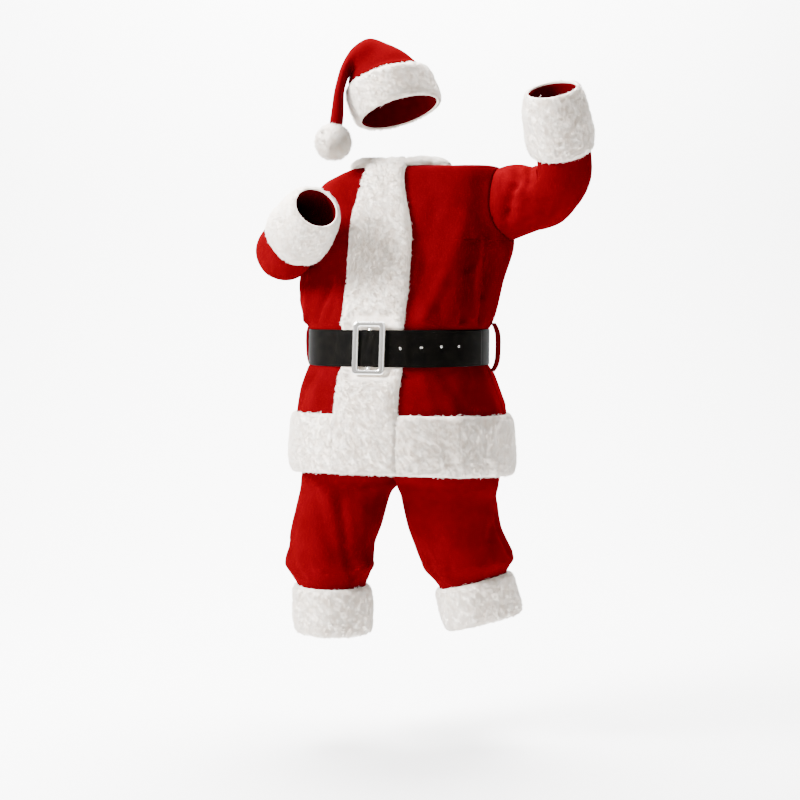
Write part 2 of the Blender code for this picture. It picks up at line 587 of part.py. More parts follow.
def build_jacket_fur(white, collection):
    hem_rows = np.concatenate([[0], HEM_ROWS])
    round_hem = np.concatenate([SIDE_LAPS, BACK_LAPS[1:], 5 - SIDE_LAPS[-2::-1]])

    def hem(lap, place):
        clear = (PLACKET_CLEARANCE / 0.25) * ((lap < 1.001) * 1.0 - (lap > 3.999))
        return body_angle(lap, place) + clear, place

    shell("hem_fur", jacket, hem, round_hem, hem_rows, SEAM, fur(0, HEM_ROWS[-1], FUR_PILE), white,
          collection)

    placket_rows = np.concatenate([[0], BODY_ROWS[BODY_ROWS < COLLAR_ROWS[0] - 0.001],
                                   [COLLAR_ROWS[0] - 0.002]])
    placket_laps = np.concatenate([-PLACKET_LAPS[:0:-1], PLACKET_LAPS])

    def placket(lap, place):
        return placket_half_angle(place) * lap, place

    def placket_face(lap, place, points):
        across, up = (lap + 1) / 2, place / placket_rows[-1]
        off_belt = np.abs(points[:, 2] + NECK_HEIGHT - BELT_HEIGHT)
        belt = 1 - ease((off_belt - BELT_OFFSETS[0]) / (BELT_OFFSETS[1] - BELT_OFFSETS[0]))
        buckle = ((1 - ease((off_belt - BELT_OFFSETS[2]) / (BELT_OFFSETS[3] - BELT_OFFSETS[2])))
                  * (1 - ease((np.abs(lap) - 0.55) / 0.3)))
        free = ((FUR_PILE + 0.001) * rounded(across, 8) * rounded(up, 60)
                + FUR_LUMP * lumps(points, FUR_TUFT))
        pressed = free + (UNDER_BUCKLE - free) * buckle
        return pressed + (UNDER_BELT * rounded(across, 8, 0.5) - pressed) * belt

    shell("placket_fur", jacket, placket, placket_laps, placket_rows, SEAM, placket_face, white,
          collection)

    round_neck = np.concatenate([PLACKET_LAPS, round_hem[1:], 5 - PLACKET_LAPS[-2::-1]])

    def collar(lap, place):
        return body_angle(lap, place, centre_gap=COLLAR_GAP / 2), place

    shell("collar_fur", jacket, collar, round_neck, COLLAR_ROWS, SEAM,
          fur(COLLAR_ROWS[0], 1, COLLAR_PILE), white, collection)


def build_sleeves(red, white, collection):
    turns = np.linspace(0, TURN, 2 * ARMHOLE_ROWS + 1)

    def same(turn, place):
        return turn, place

    for side, name in ((RIGHT, "right"), (LEFT, "left")):
        surface = sleeve_surface(side)
        start = 1 - CUFF_LENGTH / SLEEVES[side].length
        cuff_rows = edge_spaced(start, 1, 4)
        shell("sleeve_" + name, surface, same, turns,
              np.concatenate([np.linspace(0, start, 12)[:-1], cuff_rows]), -CLOTH, 0, red, collection,
              joined=everywhere)
        fur_end = 1 + FUR_OVERHANG / SLEEVES[side].length
        shell("cuff_fur_" + name, surface, same, turns, np.append(cuff_rows, fur_end), SEAM,
              fur(start, fur_end, FUR_PILE), white, collection, joined=everywhere)


def build_belt(black, silver, red, collection):
    bottom, top = (jacket_place(BELT_HEIGHT + sign * BELT_WIDTH / 2) for sign in (-1, 1))
    end = TURN + BELT_TAIL_ANGLE
    near_buckle = 0.30

    def strap(angle, place):
        return angle, place

    def strap_under(angle, place, points):
        """The strap lies over the placket, then over the buckle's bar and its own first turn."""
        from_centre = np.abs((angle + math.pi) % TURN - math.pi)
        over_placket = 1 - ease((from_centre - BELT_PLACKET_ANGLE) / 0.10)
        second_turn = ease((angle - TURN + near_buckle) / 0.20)
        over_bar = 1 - ease((angle - TURN - 0.05) / 0.3)
        return (STRAP_LIFT + (STRAP_OVER_PLACKET - STRAP_LIFT) * over_placket
                + (BELT_THICK + 2 * SEAM + (BUCKLE_BAR_THICK + STRAP_SLACK) * over_bar) * second_turn)

    def strap_over(angle, place, points):
        return strap_under(angle, place, points) + BELT_THICK

    angles = np.concatenate([np.linspace(BELT_START_ANGLE, TURN - near_buckle, 54)[:-1],
                             TURN + np.linspace(-near_buckle, near_buckle, 13),
                             np.linspace(TURN + near_buckle, end, 11)[1:]])
    shell("belt_strap", jacket_smooth, strap, angles, np.array([bottom, top]), strap_under, strap_over,
          black, collection)

    def loop_over(angle, share, points):
        return loop_under(angle, share, points) + LOOP_THICK

    half_turn = LOOP_WIDTH / 2 / JACKET.at(LOOP_ENDS)["left"].mean()
    for side, name in ((RIGHT, "right"), (LEFT, "left")):
        loop_turns = side * LOOP_ANGLE + half_turn * np.array([-1, 1])
        shell("belt_loop_" + name, loop_chord, strap, loop_turns, np.linspace(0, 1, 13), loop_under,
              loop_over, red, collection)
    build_buckle(silver, collection)


def belt_front():
    """The place of the belt's middle at centre front, leaning back as the jacket does there."""
    edges = jacket_place(BELT_HEIGHT + np.array([-0.5, 0.5]) * BELT_WIDTH)
    bottom, top = jacket_smooth(np.zeros(2), edges)
    lean = math.asin((bottom - top)[1] / np.linalg.norm(top - bottom))
    return Matrix.Translation((bottom + top) / 2) @ Matrix.Rotation(lean, 4, "X")


def plate(name, width, height, back, front, middle, corner, finish, collection):
    """A plate on the front of the belt, its two faces at the given distances out from the jacket."""
    bm = bmesh.new()
    bmesh.ops.create_cube(bm, size=1)
    bmesh.ops.scale(bm, vec=(width, front - back, height), verts=bm.verts)
    bmesh.ops.translate(bm, vec=(0, -(front + back) / 2, middle), verts=bm.verts)
    if corner:
        edges = [edge for edge in bm.edges
                 if abs(edge.verts[0].co.y - edge.verts[1].co.y) > (front - back) / 2]
        bmesh.ops.bevel(bm, geom=edges, offset=corner, segments=4, profile=0.5, affect="EDGES",
                        material=-1)
    bmesh.ops.transform(bm, matrix=belt_front(), verts=bm.verts)
    return mesh_object(name, bm, finish, collection)


def build_buckle(silver, collection):
    """A flat frame standing before the belt, with a bar behind the strap from its top to its bottom."""
    guides = bpy.data.collections.new("cutters")
    bpy.context.scene.collection.children.link(guides)
    bar_back = STRAP_OVER_PLACKET + BELT_THICK + SEAM
    bar_front = bar_back + BUCKLE_BAR_THICK
    frame_back = bar_front + STRAP_SLACK + BELT_THICK + 2 * SEAM
    frame_front = frame_back + BUCKLE_THICK
    buckle = plate("buckle", BUCKLE_WIDTH, BUCKLE_HEIGHT, frame_back, frame_front, 0, 0.010,
                   silver, collection)
    window = plate("buckle_window", BUCKLE_WIDTH - 2 * BUCKLE_SIDE, BUCKLE_HEIGHT - 2 * BUCKLE_RAIL,
                   bar_back, frame_front + BUCKLE_THICK, 0, 0.005, silver, guides)
    bar_half = BELT_WIDTH / 2 + 0.004
    bar = plate("buckle_bar", BUCKLE_BAR_WIDTH, 2 * bar_half, bar_back, bar_front, 0, 0, silver, guides)
    steps = [("DIFFERENCE", window), ("UNION", bar)]
    foot_low, foot_high = BELT_WIDTH / 2 + 0.002, BUCKLE_HEIGHT / 2 - 0.004
    for end in (-1, 1):
        steps.append(("UNION", plate("buckle_foot", BUCKLE_BAR_WIDTH - 0.001, foot_high - foot_low,
                                     bar_back + 0.0005, frame_back + 0.001,
                                     end * (foot_low + foot_high) / 2, 0, silver, guides)))
    for operation, tool in steps:
        tool.hide_render = True
        tool.display_type = "WIRE"
        joint = buckle.modifiers.new(operation.lower(), "BOOLEAN")
        joint.operation = operation
        joint.object = tool


def build_trousers(red, white, collection):
    waist_rows = jacket_place(WAIST_HEIGHT + np.array([WAIST_GAP, WAISTBAND_HEIGHT]))
    half = np.concatenate([PLACKET_LAPS, SIDE_LAPS[1:]])

    def waist(lap, place):
        return body_angle(lap, place), place

    shell("waistband", jacket_smooth, waist, np.concatenate([half, BACK_LAPS[1:], 5 - half[-2::-1]]),
          waist_rows, -(WAIST_INSET + WAISTBAND_THICK), -WAIST_INSET, red, collection, joined=everywhere)

    for side, name in ((RIGHT, "right"), (LEFT, "left")):
        heights = dict(zip(LEGS[side].place, LEGS[side].values[:, 0]))
        cuff_rows = edge_spaced(heights["bottom"], heights["cuff_top"], 4)
        fork = heights["crotch"]
        rows = np.concatenate([
            cuff_rows, np.linspace(cuff_rows[-1], fork, 10)[1:],
            fork + (CROTCH_TOP - fork) * np.array([0.12, 0.4, 1]), HIP_HEIGHTS, [WAIST_HEIGHT]])
        turns = np.linspace(0, TURN, 17)
        turns = turns if side == LEFT else -turns[::-1]
        surface = leg_surface(side)

        def same(turn, height):
            return turn, height

        shell("trouser_leg_" + name, surface, same, turns, rows, -CLOTH, 0, red, collection,
              joined=lambda height, fork=fork: height < fork + 1e-6)
        fur_rows = np.concatenate([[cuff_rows[0] - FUR_OVERHANG], cuff_rows])
        shell("trouser_cuff_" + name, surface, same, turns, fur_rows, SEAM,
              fur(fur_rows[0], fur_rows[-1], FUR_PILE), white, collection, joined=everywhere)


def build_hat(red, white, collection):
    band_rows = edge_spaced(0, HAT.place["band_top"], 4)
    turns = np.linspace(0, TURN, 21)

    def same(turn, place):
        return turn, place

    shell("hat_cone", hat_surface, same, turns,
          np.concatenate([band_rows, np.linspace(band_rows[-1], 1, 15)[1:]]), -CLOTH, 0, red,
          collection, joined=everywhere)
    fur_rows = np.concatenate([[-FUR_OVERHANG / HAT.length], band_rows])
    shell("hat_band", hat_surface, same, turns, fur_rows, SEAM,
          fur(fur_rows[0], fur_rows[-1], FUR_PILE), white, collection, joined=everywhere)
    tip = hat_surface(np.array([0.0, math.pi]), np.array([1.0, 1.0])).mean(axis=0)
    build_pompom(tip, white, collection)


def build_pompom(tip, white, collection):
    """A core with a lock of fur standing on each face, but for those under the hat's tail."""
    centre = tip - np.array([0, 0, POMPOM_CORE - POMPOM_TUCK])
    bm = bmesh.new()
    bmesh.ops.create_icosphere(bm, subdivisions=2, radius=POMPOM_CORE)
    clear = [face for face in bm.faces if face.calc_center_median().normalized().z < 0.72]
    locks = bmesh.ops.extrude_discrete_faces(bm, faces=clear)["faces"]
    for number, face in enumerate(locks):
        middle = face.calc_center_median()
        reach = POMPOM_RADIUS - 0.003 * (1 + math.sin(2.4 * number)) / 2
        for vert in face.verts:
            vert.co = middle.normalized() * reach + (vert.co - middle) * 0.80
    bmesh.ops.translate(bm, vec=centre, verts=bm.verts[:])
    mesh_object("pompom", bm, white, collection)


def main():
    for old in list(bpy.data.objects):
        bpy.data.objects.remove(old)
    suit = bpy.data.collections.new("santa_suit")
    bpy.context.scene.collection.children.link(suit)
    red = material("red_plush", RED, 0.85)
    white = material("white_fur", WHITE, 0.90)
    black = material("black_vinyl", BLACK, 0.30)
    silver = material("silver_metal", SILVER, 0.18, 1.0)
    build_jacket(red, suit)
    build_sleeves(red, white, suit)
    build_jacket_fur(white, suit)
    build_belt(black, silver, red, suit)
    build_trousers(red, white, suit)
    build_hat(red, white, suit)


main()
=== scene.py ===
"""Santa suit in red plush with white fur trim, in its worn pose, dressed over its frame.

Metres, +Z up. The origin is the centre of the neck base, +X is the wearer's left and the front
faces -Y. Heights in the tables are above the wearer's soles.
"""
import math

import bmesh
import bpy
import numpy as np
from mathutils import Matrix, Vector


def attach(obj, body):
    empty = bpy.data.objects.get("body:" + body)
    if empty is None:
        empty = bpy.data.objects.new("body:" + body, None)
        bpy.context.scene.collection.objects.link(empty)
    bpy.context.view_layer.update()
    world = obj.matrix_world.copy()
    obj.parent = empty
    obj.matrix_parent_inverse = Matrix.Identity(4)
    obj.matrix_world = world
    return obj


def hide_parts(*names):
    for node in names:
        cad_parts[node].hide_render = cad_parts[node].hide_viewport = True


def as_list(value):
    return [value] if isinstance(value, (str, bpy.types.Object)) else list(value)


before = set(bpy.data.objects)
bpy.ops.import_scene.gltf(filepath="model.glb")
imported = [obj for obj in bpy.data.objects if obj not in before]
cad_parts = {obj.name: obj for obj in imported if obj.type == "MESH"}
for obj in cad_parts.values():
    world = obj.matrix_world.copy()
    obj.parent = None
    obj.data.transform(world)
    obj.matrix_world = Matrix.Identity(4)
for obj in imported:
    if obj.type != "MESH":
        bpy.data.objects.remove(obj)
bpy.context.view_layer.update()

NECK_HEIGHT = 1.47        # from the wearer's soles to the origin
CLOTH = 0.0020            # wall of the plush
SEAM = 0.0003             # gap left between two pieces that are sewn or lie together
TURN = 2 * math.pi
RIGHT, LEFT = -1, 1       # sides of the wearer
SIDES = ((RIGHT, "right"), (LEFT, "left"))

BELT_HEIGHT = 1.0245      # middle of the belt
BELT_WIDTH = 0.091
BELT_THICK = 0.0028
BELT_START_ANGLE = math.radians(3.0)    # the strap is sewn round the buckle's bar here
BELT_TAIL_ANGLE = math.radians(80)      # and its tail ends here, over the first turn
BELT_PLACKET_ANGLE = math.radians(23)   # where the strap comes down off the placket
BUCKLE_WIDTH, BUCKLE_HEIGHT, BUCKLE_THICK = 0.084, 0.130, 0.005
BUCKLE_SIDE, BUCKLE_RAIL = 0.015, 0.0125
BUCKLE_BAR_WIDTH, BUCKLE_BAR_THICK = 0.008, 0.0025
STRAP_SLACK = 0.0002      # of the strap over the bar, which leans a little less than the strap
LOOP_ANGLE = math.radians(93)
LOOP_HEIGHT, LOOP_WIDTH, LOOP_THICK, LOOP_STAND = 0.122, 0.015, 0.0120, 0.0148

PLACKET_HALF = 0.083
COLLAR_PILE = 0.016
CUFF_LENGTH = 0.150       # fur cuff of a sleeve
FUR_PILE = 0.017          # depth of the fur trim
FUR_LUMP = 0.0018         # how uneven its surface is
FUR_TUFT = 0.045          # and the size of its tufts
FUR_OVERHANG = 0.004      # how far fur reaches past the cloth it is sewn on
UNDER_BELT = 0.0040       # fur pressed flat under the belt
UNDER_BUCKLE = 0.0045     # and behind the buckle's rails
STRAP_LIFT = 0.0012       # of the belt's underside off the jacket
STRAP_OVER_PLACKET = UNDER_BELT + 0.0007
LOOP_LIFT = 0.0004        # of the loops' sewn ends off the jacket
PLACKET_CLEARANCE = 0.0008  # between the placket and the hem band
COLLAR_GAP = 0.0015       # between the collar's two ends
WAISTBAND_THICK = 0.003
WAISTBAND_HEIGHT = 0.040
WAIST_GAP = 0.0010        # between the waistband, which leans with the jacket, and the trousers' level top
POMPOM_CORE = 0.030       # radius of the pompom's core
POMPOM_TUCK = 0.0011      # how far its core reaches up inside the hat's tip
POMPOM_BALL = 0.038       # radius of the ball that shows between its pile
POMPOM_ROOTS = 0.037      # and of the sphere that the pile grows from
POMPOM_PILE = 0.013       # length of its strands


# ---------------------------------------------------------------- tables and curves

def smooth_curve(stops, values, at, level=True):
    """Values at the places at, on a smooth curve through the rows. A level curve never overshoots."""
    slope = np.diff(values, axis=0) / np.diff(stops)[:, None]
    turn = np.empty_like(values)
    turn[0], turn[-1] = slope[0], slope[-1]
    if level:
        product = slope[:-1] * slope[1:]
        total = slope[:-1] + slope[1:]
        turn[1:-1] = np.where(product > 0, 2 * product / np.where(product > 0, total, 1), 0)
    else:
        turn[1:-1] = (slope[:-1] + slope[1:]) / 2
    row = np.clip(np.searchsorted(stops, at, side="right") - 1, 0, len(stops) - 2)
    span = (stops[row + 1] - stops[row])[:, None]
    t = (at - stops[row])[:, None] / span
    return ((2 * t ** 3 - 3 * t ** 2 + 1) * values[row] + (t ** 3 - 2 * t ** 2 + t) * span * turn[row]
            + (3 * t ** 2 - 2 * t ** 3) * values[row + 1] + (t ** 3 - t ** 2) * span * turn[row + 1])


class Sections:
    """Named rows of named sizes along a piece, read at any place from the first row, 0, to the last, 1."""

    def __init__(self, columns, rows, spaced_by, level=True):
        self.columns = columns
        self.level = level
        self.values = np.array([row[1:] for row in rows], dtype=float)
        picked = self.values[:, [columns.index(name) for name in spaced_by]]
        steps = np.linalg.norm(np.diff(picked, axis=0), axis=1)
        self.length = steps.sum()
        self.stops = np.concatenate([[0], np.cumsum(steps)]) / self.length
        self.place = {row[0]: stop for row, stop in zip(rows, self.stops)}

    def at(self, place):
        """Every size at each place, by its column's name."""
        values = smooth_curve(self.stops, self.values, place, self.level)
        return {name: values[:, i] for i, name in enumerate(self.columns)}

    def size(self, row, column):
        """One size in one of the named rows."""
        return self.values[list(self.place).index(row), self.columns.index(column)]


def ease(t):
    """0 to 1, smoothly, as t goes from 0 to 1."""
    t = np.clip(t, 0, 1)
    return t * t * (3 - 2 * t)


def fade(x, start, width):
    """1 up to start, then smoothly to 0 over the width after it."""
    return 1 - ease((x - start) / width)


def unit(vectors):
    return vectors / np.linalg.norm(vectors, axis=-1, keepdims=True)


def normals(surface, a, b, step=1e-4):
    """Outward normals of a surface whose a runs anticlockwise seen from above and whose b runs up."""
    along = surface(a + step, b) - surface(a - step, b)
    up = surface(a, b + step) - surface(a, b - step)
    return unit(np.cross(along, up))


def lumps(points, size):
    """A soft uneven swelling from -1 to 1 over white fur, its tufts about size across."""
    x, y, z = (points / size * TURN / 2).T
    return (np.sin(x + 1.7 * np.sin(0.8 * z)) + np.sin(1.1 * z + 1.3 * np.sin(0.9 * y))
            + np.sin(1.2 * y + 1.1 * x)) / 3


# ---------------------------------------------------------------- jacket surface

SQUARENESS = 2.25         # above 2, so that the trunk is fuller at its corners than an ellipse

JACKET = Sections(
    ("height", "left", "right", "front", "back", "raise_left", "raise_front"),
    [("fur_edge",     0.698, 0.284, 0.262, 0.262, 0.205, 0, 0.025),
     ("hem",          0.703, 0.284, 0.262, 0.262, 0.205, 0, 0.025),
     ("fur_top",      0.852, 0.275, 0.258, 0.250, 0.198, 0, 0.014),
     ("hip",          0.918, 0.253, 0.250, 0.238, 0.190, 0, 0),
     ("under_belt",   0.970, 0.232, 0.233, 0.2125, 0.180, 0, 0),
     ("belt_bottom",  0.983, 0.225, 0.226, 0.210, 0.174, 0, 0),
     ("belt_top",     1.066, 0.226, 0.226, 0.202, 0.170, 0, 0),
     ("over_belt",    1.079, 0.234, 0.236, 0.202, 0.174, 0, 0),
     ("waist",        1.110, 0.247, 0.251, 0.190, 0.176, 0, 0),
     ("chest",        1.190, 0.268, 0.270, 0.162, 0.172, 0, 0),
     ("underarm",     1.290, 0.296, 0.238, 0.144, 0.165, 0, 0),
     ("mid_armhole",  1.375, 0.290, 0.224, 0.138, 0.158, 0.012, 0),
     ("shoulder_tip", 1.432, 0.262, 0.206, 0.120, 0.138, 0.036, 0),
     ("shoulder",     1.458, 0.190, 0.160, 0.106, 0.120, 0.018, 0),
     ("neck_slope",   1.472, 0.128, 0.124, 0.092, 0.104, 0.004, 0),
     ("neck",         1.488, 0.080, 0.080, 0.078, 0.080, 0, 0)],
    spaced_by=("height", "right"))

# The jacket's folds: soft troughs (minus) and ridges (plus) along straight runs, the large ones
# first. Angles are degrees round the body from centre front towards the wearer's left.
JACKET_FOLDS = [
    # from_angle, from_height, to_angle, to_height, depth, half_width
    (72, 1.40, 66, 1.24, -0.008, 0.016),
    (66, 1.24, 66, 1.10, -0.007, 0.016),
    (74, 1.32, 77, 1.10, -0.008, 0.014),
    (63, 1.33, 55, 1.14, 0.006, 0.024),
    (86, 1.26, 88, 1.11, 0.005, 0.016),
    (36, 1.30, 40, 1.12, -0.004, 0.022),
    (-42, 1.18, -50, 1.09, -0.006, 0.020),
    (-66, 1.22, -62, 1.09, 0.005, 0.022),
    (-80, 1.20, -84, 1.08, -0.007, 0.020),
    (118, 1.32, 128, 1.08, -0.008, 0.024),
    (150, 1.26, 146, 1.09, 0.006, 0.024),
    (-124, 1.30, -134, 1.08, -0.008, 0.024),
    (-158, 1.22, -152, 1.09, 0.006, 0.024),
    (48, 0.960, 54, 0.87, -0.006, 0.018),
    (-46, 0.960, -54, 0.87, -0.006, 0.018),
    (78, 0.960, 80, 0.86, 0.005, 0.020),
    (122, 0.960, 126, 0.86, -0.007, 0.022),
    (-114, 0.960, -118, 0.86, -0.006, 0.020),
    (-142, 0.960, -140, 0.86, 0.006, 0.022),
    (68, 1.35, 66, 1.29, -0.004, 0.010),
    (66, 1.29, 63.5, 1.22, -0.011, 0.010),
    (63.5, 1.22, 61, 1.09, -0.013, 0.010),
    (71.2, 1.29, 70.8, 1.25, 0.006, 0.009),
    (70.5, 1.235, 68, 1.10, 0.0125, 0.009),
    (76, 1.25, 76, 1.15, -0.010, 0.009),
    (76, 1.15, 78, 1.08, -0.008, 0.009),
    (85, 1.24, 86, 1.10, 0.006, 0.010),
    (60, 1.30, 49, 1.19, 0.006, 0.018),
    (49, 1.19, 36, 1.10, 0.008, 0.016),
    (48, 1.36, 40, 1.26, -0.004, 0.020),
    (40, 1.24, 30, 1.14, -0.004, 0.014),
    (46, 1.12, 47, 1.08, -0.003, 0.010),
    (-34, 1.14, -35, 1.08, -0.003, 0.012),
    (-42, 1.19, -47, 1.10, -0.007, 0.011),
    (-58, 1.22, -59, 1.09, 0.008, 0.010),
    (-72, 1.20, -70, 1.08, -0.007, 0.011),
    (-74, 1.14, -72, 1.08, 0.003, 0.010),
    (-48, 1.38, -56, 1.26, -0.004, 0.016),
    (-60, 1.36, -72, 1.29, -0.004, 0.012),
    (104, 1.20, 108, 1.09, -0.008, 0.012),
    (130, 1.24, 140, 1.09, -0.008, 0.013),
    (147, 1.24, 153, 1.09, 0.006, 0.013),
    (158, 1.22, 166, 1.09, -0.009, 0.013),
    (180, 1.36, 176, 1.12, -0.005, 0.020),
    (-172, 1.20, -172, 1.09, 0.007, 0.013),
    (-136, 1.24, -146, 1.09, -0.009, 0.013),
    (-110, 1.21, -112, 1.09, -0.008, 0.012),
    (114, 1.34, 128, 1.25, -0.008, 0.015),
    (-118, 1.34, -130, 1.25, -0.008, 0.015),
    (34, 0.955, 37, 0.87, 0.003, 0.014),
    (64, 0.955, 66, 0.88, 0.003, 0.013),
    (50, 0.90, 50, 0.70, 0.007, 0.018),
    (66, 0.92, 67, 0.70, -0.008, 0.018),
    (-34, 0.955, -38, 0.87, 0.003, 0.014),
    (-66, 0.955, -68, 0.88, -0.003, 0.013),
    (104, 0.955, 106, 0.88, 0.004, 0.013),
    (148, 0.955, 150, 0.87, -0.007, 0.014),
    (170, 0.955, 172, 0.86, 0.006, 0.015),
    (-126, 0.955, -130, 0.87, 0.006, 0.014),
    (-160, 0.955, -160, 0.86, -0.008, 0.015),
]
GIRTH_RADIUS = 0.23       # turns the folds' angles into lengths round the body


def jacket_radius(angle, rows):
    """Distance from the body's axis, fuller than an ellipse between the four half widths."""
    side = np.where(np.sin(angle) > 0, rows["left"], rows["right"])
    deep = np.where(np.cos(angle) > 0, rows["front"], rows["back"])
    return (np.abs(np.sin(angle) / side) ** SQUARENESS
            + np.abs(np.cos(angle) / deep) ** SQUARENESS) ** (-1 / SQUARENESS)


def jacket_smooth(angle, place):
    rows = JACKET.at(place)
    radius = jacket_radius(angle, rows)
    raised = (rows["raise_left"] * ((1 + np.sin(angle)) / 2) ** 2
              + rows["raise_front"] * ((1 + np.cos(angle)) / 2) ** 2)
    return np.stack([radius * np.sin(angle), -radius * np.cos(angle),
                     rows["height"] + raised - NECK_HEIGHT], axis=-1)


def fold_relief(angle, height, folds, girth_radius):
    """How far the folds move the cloth out, at each angle round and height."""
    relief = np.zeros_like(angle)
    for from_angle, from_height, to_angle, to_height, depth, half_width in folds:
        start = math.radians(from_angle)
        run = np.array([(math.radians(to_angle) - start) * girth_radius, to_height - from_height])
        across = ((angle - start + math.pi) % TURN - math.pi) * girth_radius
        point = np.stack([across, height - from_height], axis=-1)
        t = np.clip(point @ run / (run @ run), 0, 1)
        distance = np.linalg.norm(point - t[:, None] * run, axis=1)
        relief += depth * np.exp(-(distance / half_width) ** 2)
    return relief


def jacket(angle, place):
    """The jacket's outer surface with its folds, which the belt flattens."""
    height = JACKET.at(place)["height"]
    off_belt = ease((np.abs(height - BELT_HEIGHT) - BELT_WIDTH / 2 - 0.002) / 0.020)
    relief = fold_relief(angle, height, JACKET_FOLDS, GIRTH_RADIUS) * off_belt
    return jacket_smooth(angle, place) + relief[:, None] * normals(jacket_smooth, angle, place)


FINE_PLACES = np.linspace(0, 1, 400)
FINE_HEIGHTS = JACKET.at(FINE_PLACES)["height"]


def jacket_place(height):
    return np.interp(height, FINE_HEIGHTS, FINE_PLACES)


# ---------------------------------------------------------------- armholes

ARMHOLE_MIDDLE = (JACKET.place["underarm"] + JACKET.place["shoulder_tip"]) / 2
ARMHOLE_HALF = (JACKET.place["shoulder_tip"] - JACKET.place["underarm"]) / 2
ARMHOLE_ROWS = 8
ARMHOLE_HALF_ANGLE = {LEFT: math.radians(15.5), RIGHT: math.radians(19.0)}


def armhole_edge(place, side, front):
    """Angle of a body panel's side edge: the side seam, then the armhole, then the shoulder seam."""
    height_in_hole = np.clip((place - ARMHOLE_MIDDLE) / ARMHOLE_HALF, -1, 1)
    opening = ARMHOLE_HALF_ANGLE[side] * np.sqrt(1 - height_in_hole ** 2)
    seam = SEAM / 2 / JACKET.at(place)["right"]
    back_off = opening + seam
    return side * (math.pi / 2 - back_off if front else math.pi / 2 + back_off)


PLACKET_LAPS = np.array([0, 0.5, 0.86, 1])
SIDE_LAPS = np.linspace(1, 2, 7)
FRONT_LAPS = np.append(PLACKET_LAPS, SIDE_LAPS[1:])
BACK_LAPS = np.linspace(2, 3, 17)


def all_round(laps):
    """The laps of the left front, then the back's, then the right front's, which mirror the first."""
    return np.concatenate([laps, BACK_LAPS[1:], 5 - laps[-2::-1]])


def placket_half_angle(place):
    """Half of the angle that the placket's width takes up, less towards the neck."""
    rows = JACKET.at(place)
    half = PLACKET_HALF * (1 - 0.35 * ease((rows["height"] - 1.30) / 0.15))
    return np.arctan2(half, rows["front"])


def body_angle(lap, place, back=False, centre_gap=0.0):
    """Angle round the body for a lap from 0 at centre front, by the wearer's left, to 5.

    Laps 1 and 4 are the placket's edges, 2 and 3 the side edges of the fronts or of the back.
    """
    placket = placket_half_angle(place)
    gap = centre_gap / JACKET.at(place)["front"]
    left, right = (armhole_edge(place, side, not back) for side in (LEFT, RIGHT))
    knots = np.stack([gap, placket, left, TURN + right, TURN - placket, TURN - gap])
    first = np.clip(np.floor(lap).astype(int), 0, 4)
    share = lap - first
    points = np.arange(len(place))
    return knots[first, points] * (1 - share) + knots[first + 1, points] * share


def armhole_ring(turn, side, inset):
    """Points round an armhole, turn running from the front over the shoulder to the back."""
    angle = side * (math.pi / 2 - (ARMHOLE_HALF_ANGLE[side] - inset / 0.2) * np.cos(turn))
    place = ARMHOLE_MIDDLE + (ARMHOLE_HALF - inset / JACKET.length) * np.sin(turn)
    return jacket(angle, place)


# ---------------------------------------------------------------- sleeves

def sleeve_sections(*rows):
    return Sections(("x", "y", "height", "inner", "outer", "across"), rows,
                    spaced_by=("x", "y", "height"), level=False)


SLEEVES = {
    LEFT: sleeve_sections(
        ("armhole",     0.288,  0.000, 1.383, 0.080, 0.090, 0.075),
        ("upper_arm",   0.340, -0.016, 1.399, 0.072, 0.090, 0.080),
        ("above_bend",  0.392, -0.033, 1.413, 0.058, 0.084, 0.080),
        ("elbow",       0.430, -0.052, 1.437, 0.056, 0.074, 0.078),
        ("below_bend",  0.443, -0.075, 1.479, 0.060, 0.068, 0.073),
        ("forearm",     0.440, -0.110, 1.550, 0.066, 0.066, 0.068),
        ("opening",     0.436, -0.150, 1.633, 0.058, 0.058, 0.058)),
    RIGHT: sleeve_sections(
        ("armhole",    -0.222,  0.000, 1.365, 0.075, 0.080, 0.080),
        ("upper_arm",  -0.252, -0.028, 1.330, 0.070, 0.080, 0.080),
        ("above_bend", -0.262, -0.077, 1.290, 0.060, 0.078, 0.076),
        ("elbow",      -0.262, -0.127, 1.265, 0.056, 0.074, 0.074),
        ("below_bend", -0.232, -0.176, 1.276, 0.060, 0.070, 0.072),
        ("forearm",    -0.168, -0.238, 1.316, 0.064, 0.064, 0.066),
        ("opening",    -0.104, -0.302, 1.361, 0.050, 0.050, 0.052)),
}
# The elbow's axis, which each sleeve bends about, and the turn round the armhole that it points to.
ELBOW_AXIS = {LEFT: np.array([-0.159, -0.840, -0.415]), RIGHT: np.array([-0.705, -0.268, 0.644])}
ELBOW_AXIS_TURN = {LEFT: math.radians(-26), RIGHT: math.radians(90)}
SLEEVE_HEAD = 0.30        # part of the sleeve's length over which the armhole's shape fades out
ARMHOLE_INSET = 0.0006    # of the sleeve's end inside the armhole
BODY_CLEARANCE = 0.005    # between a sleeve and the side of the body

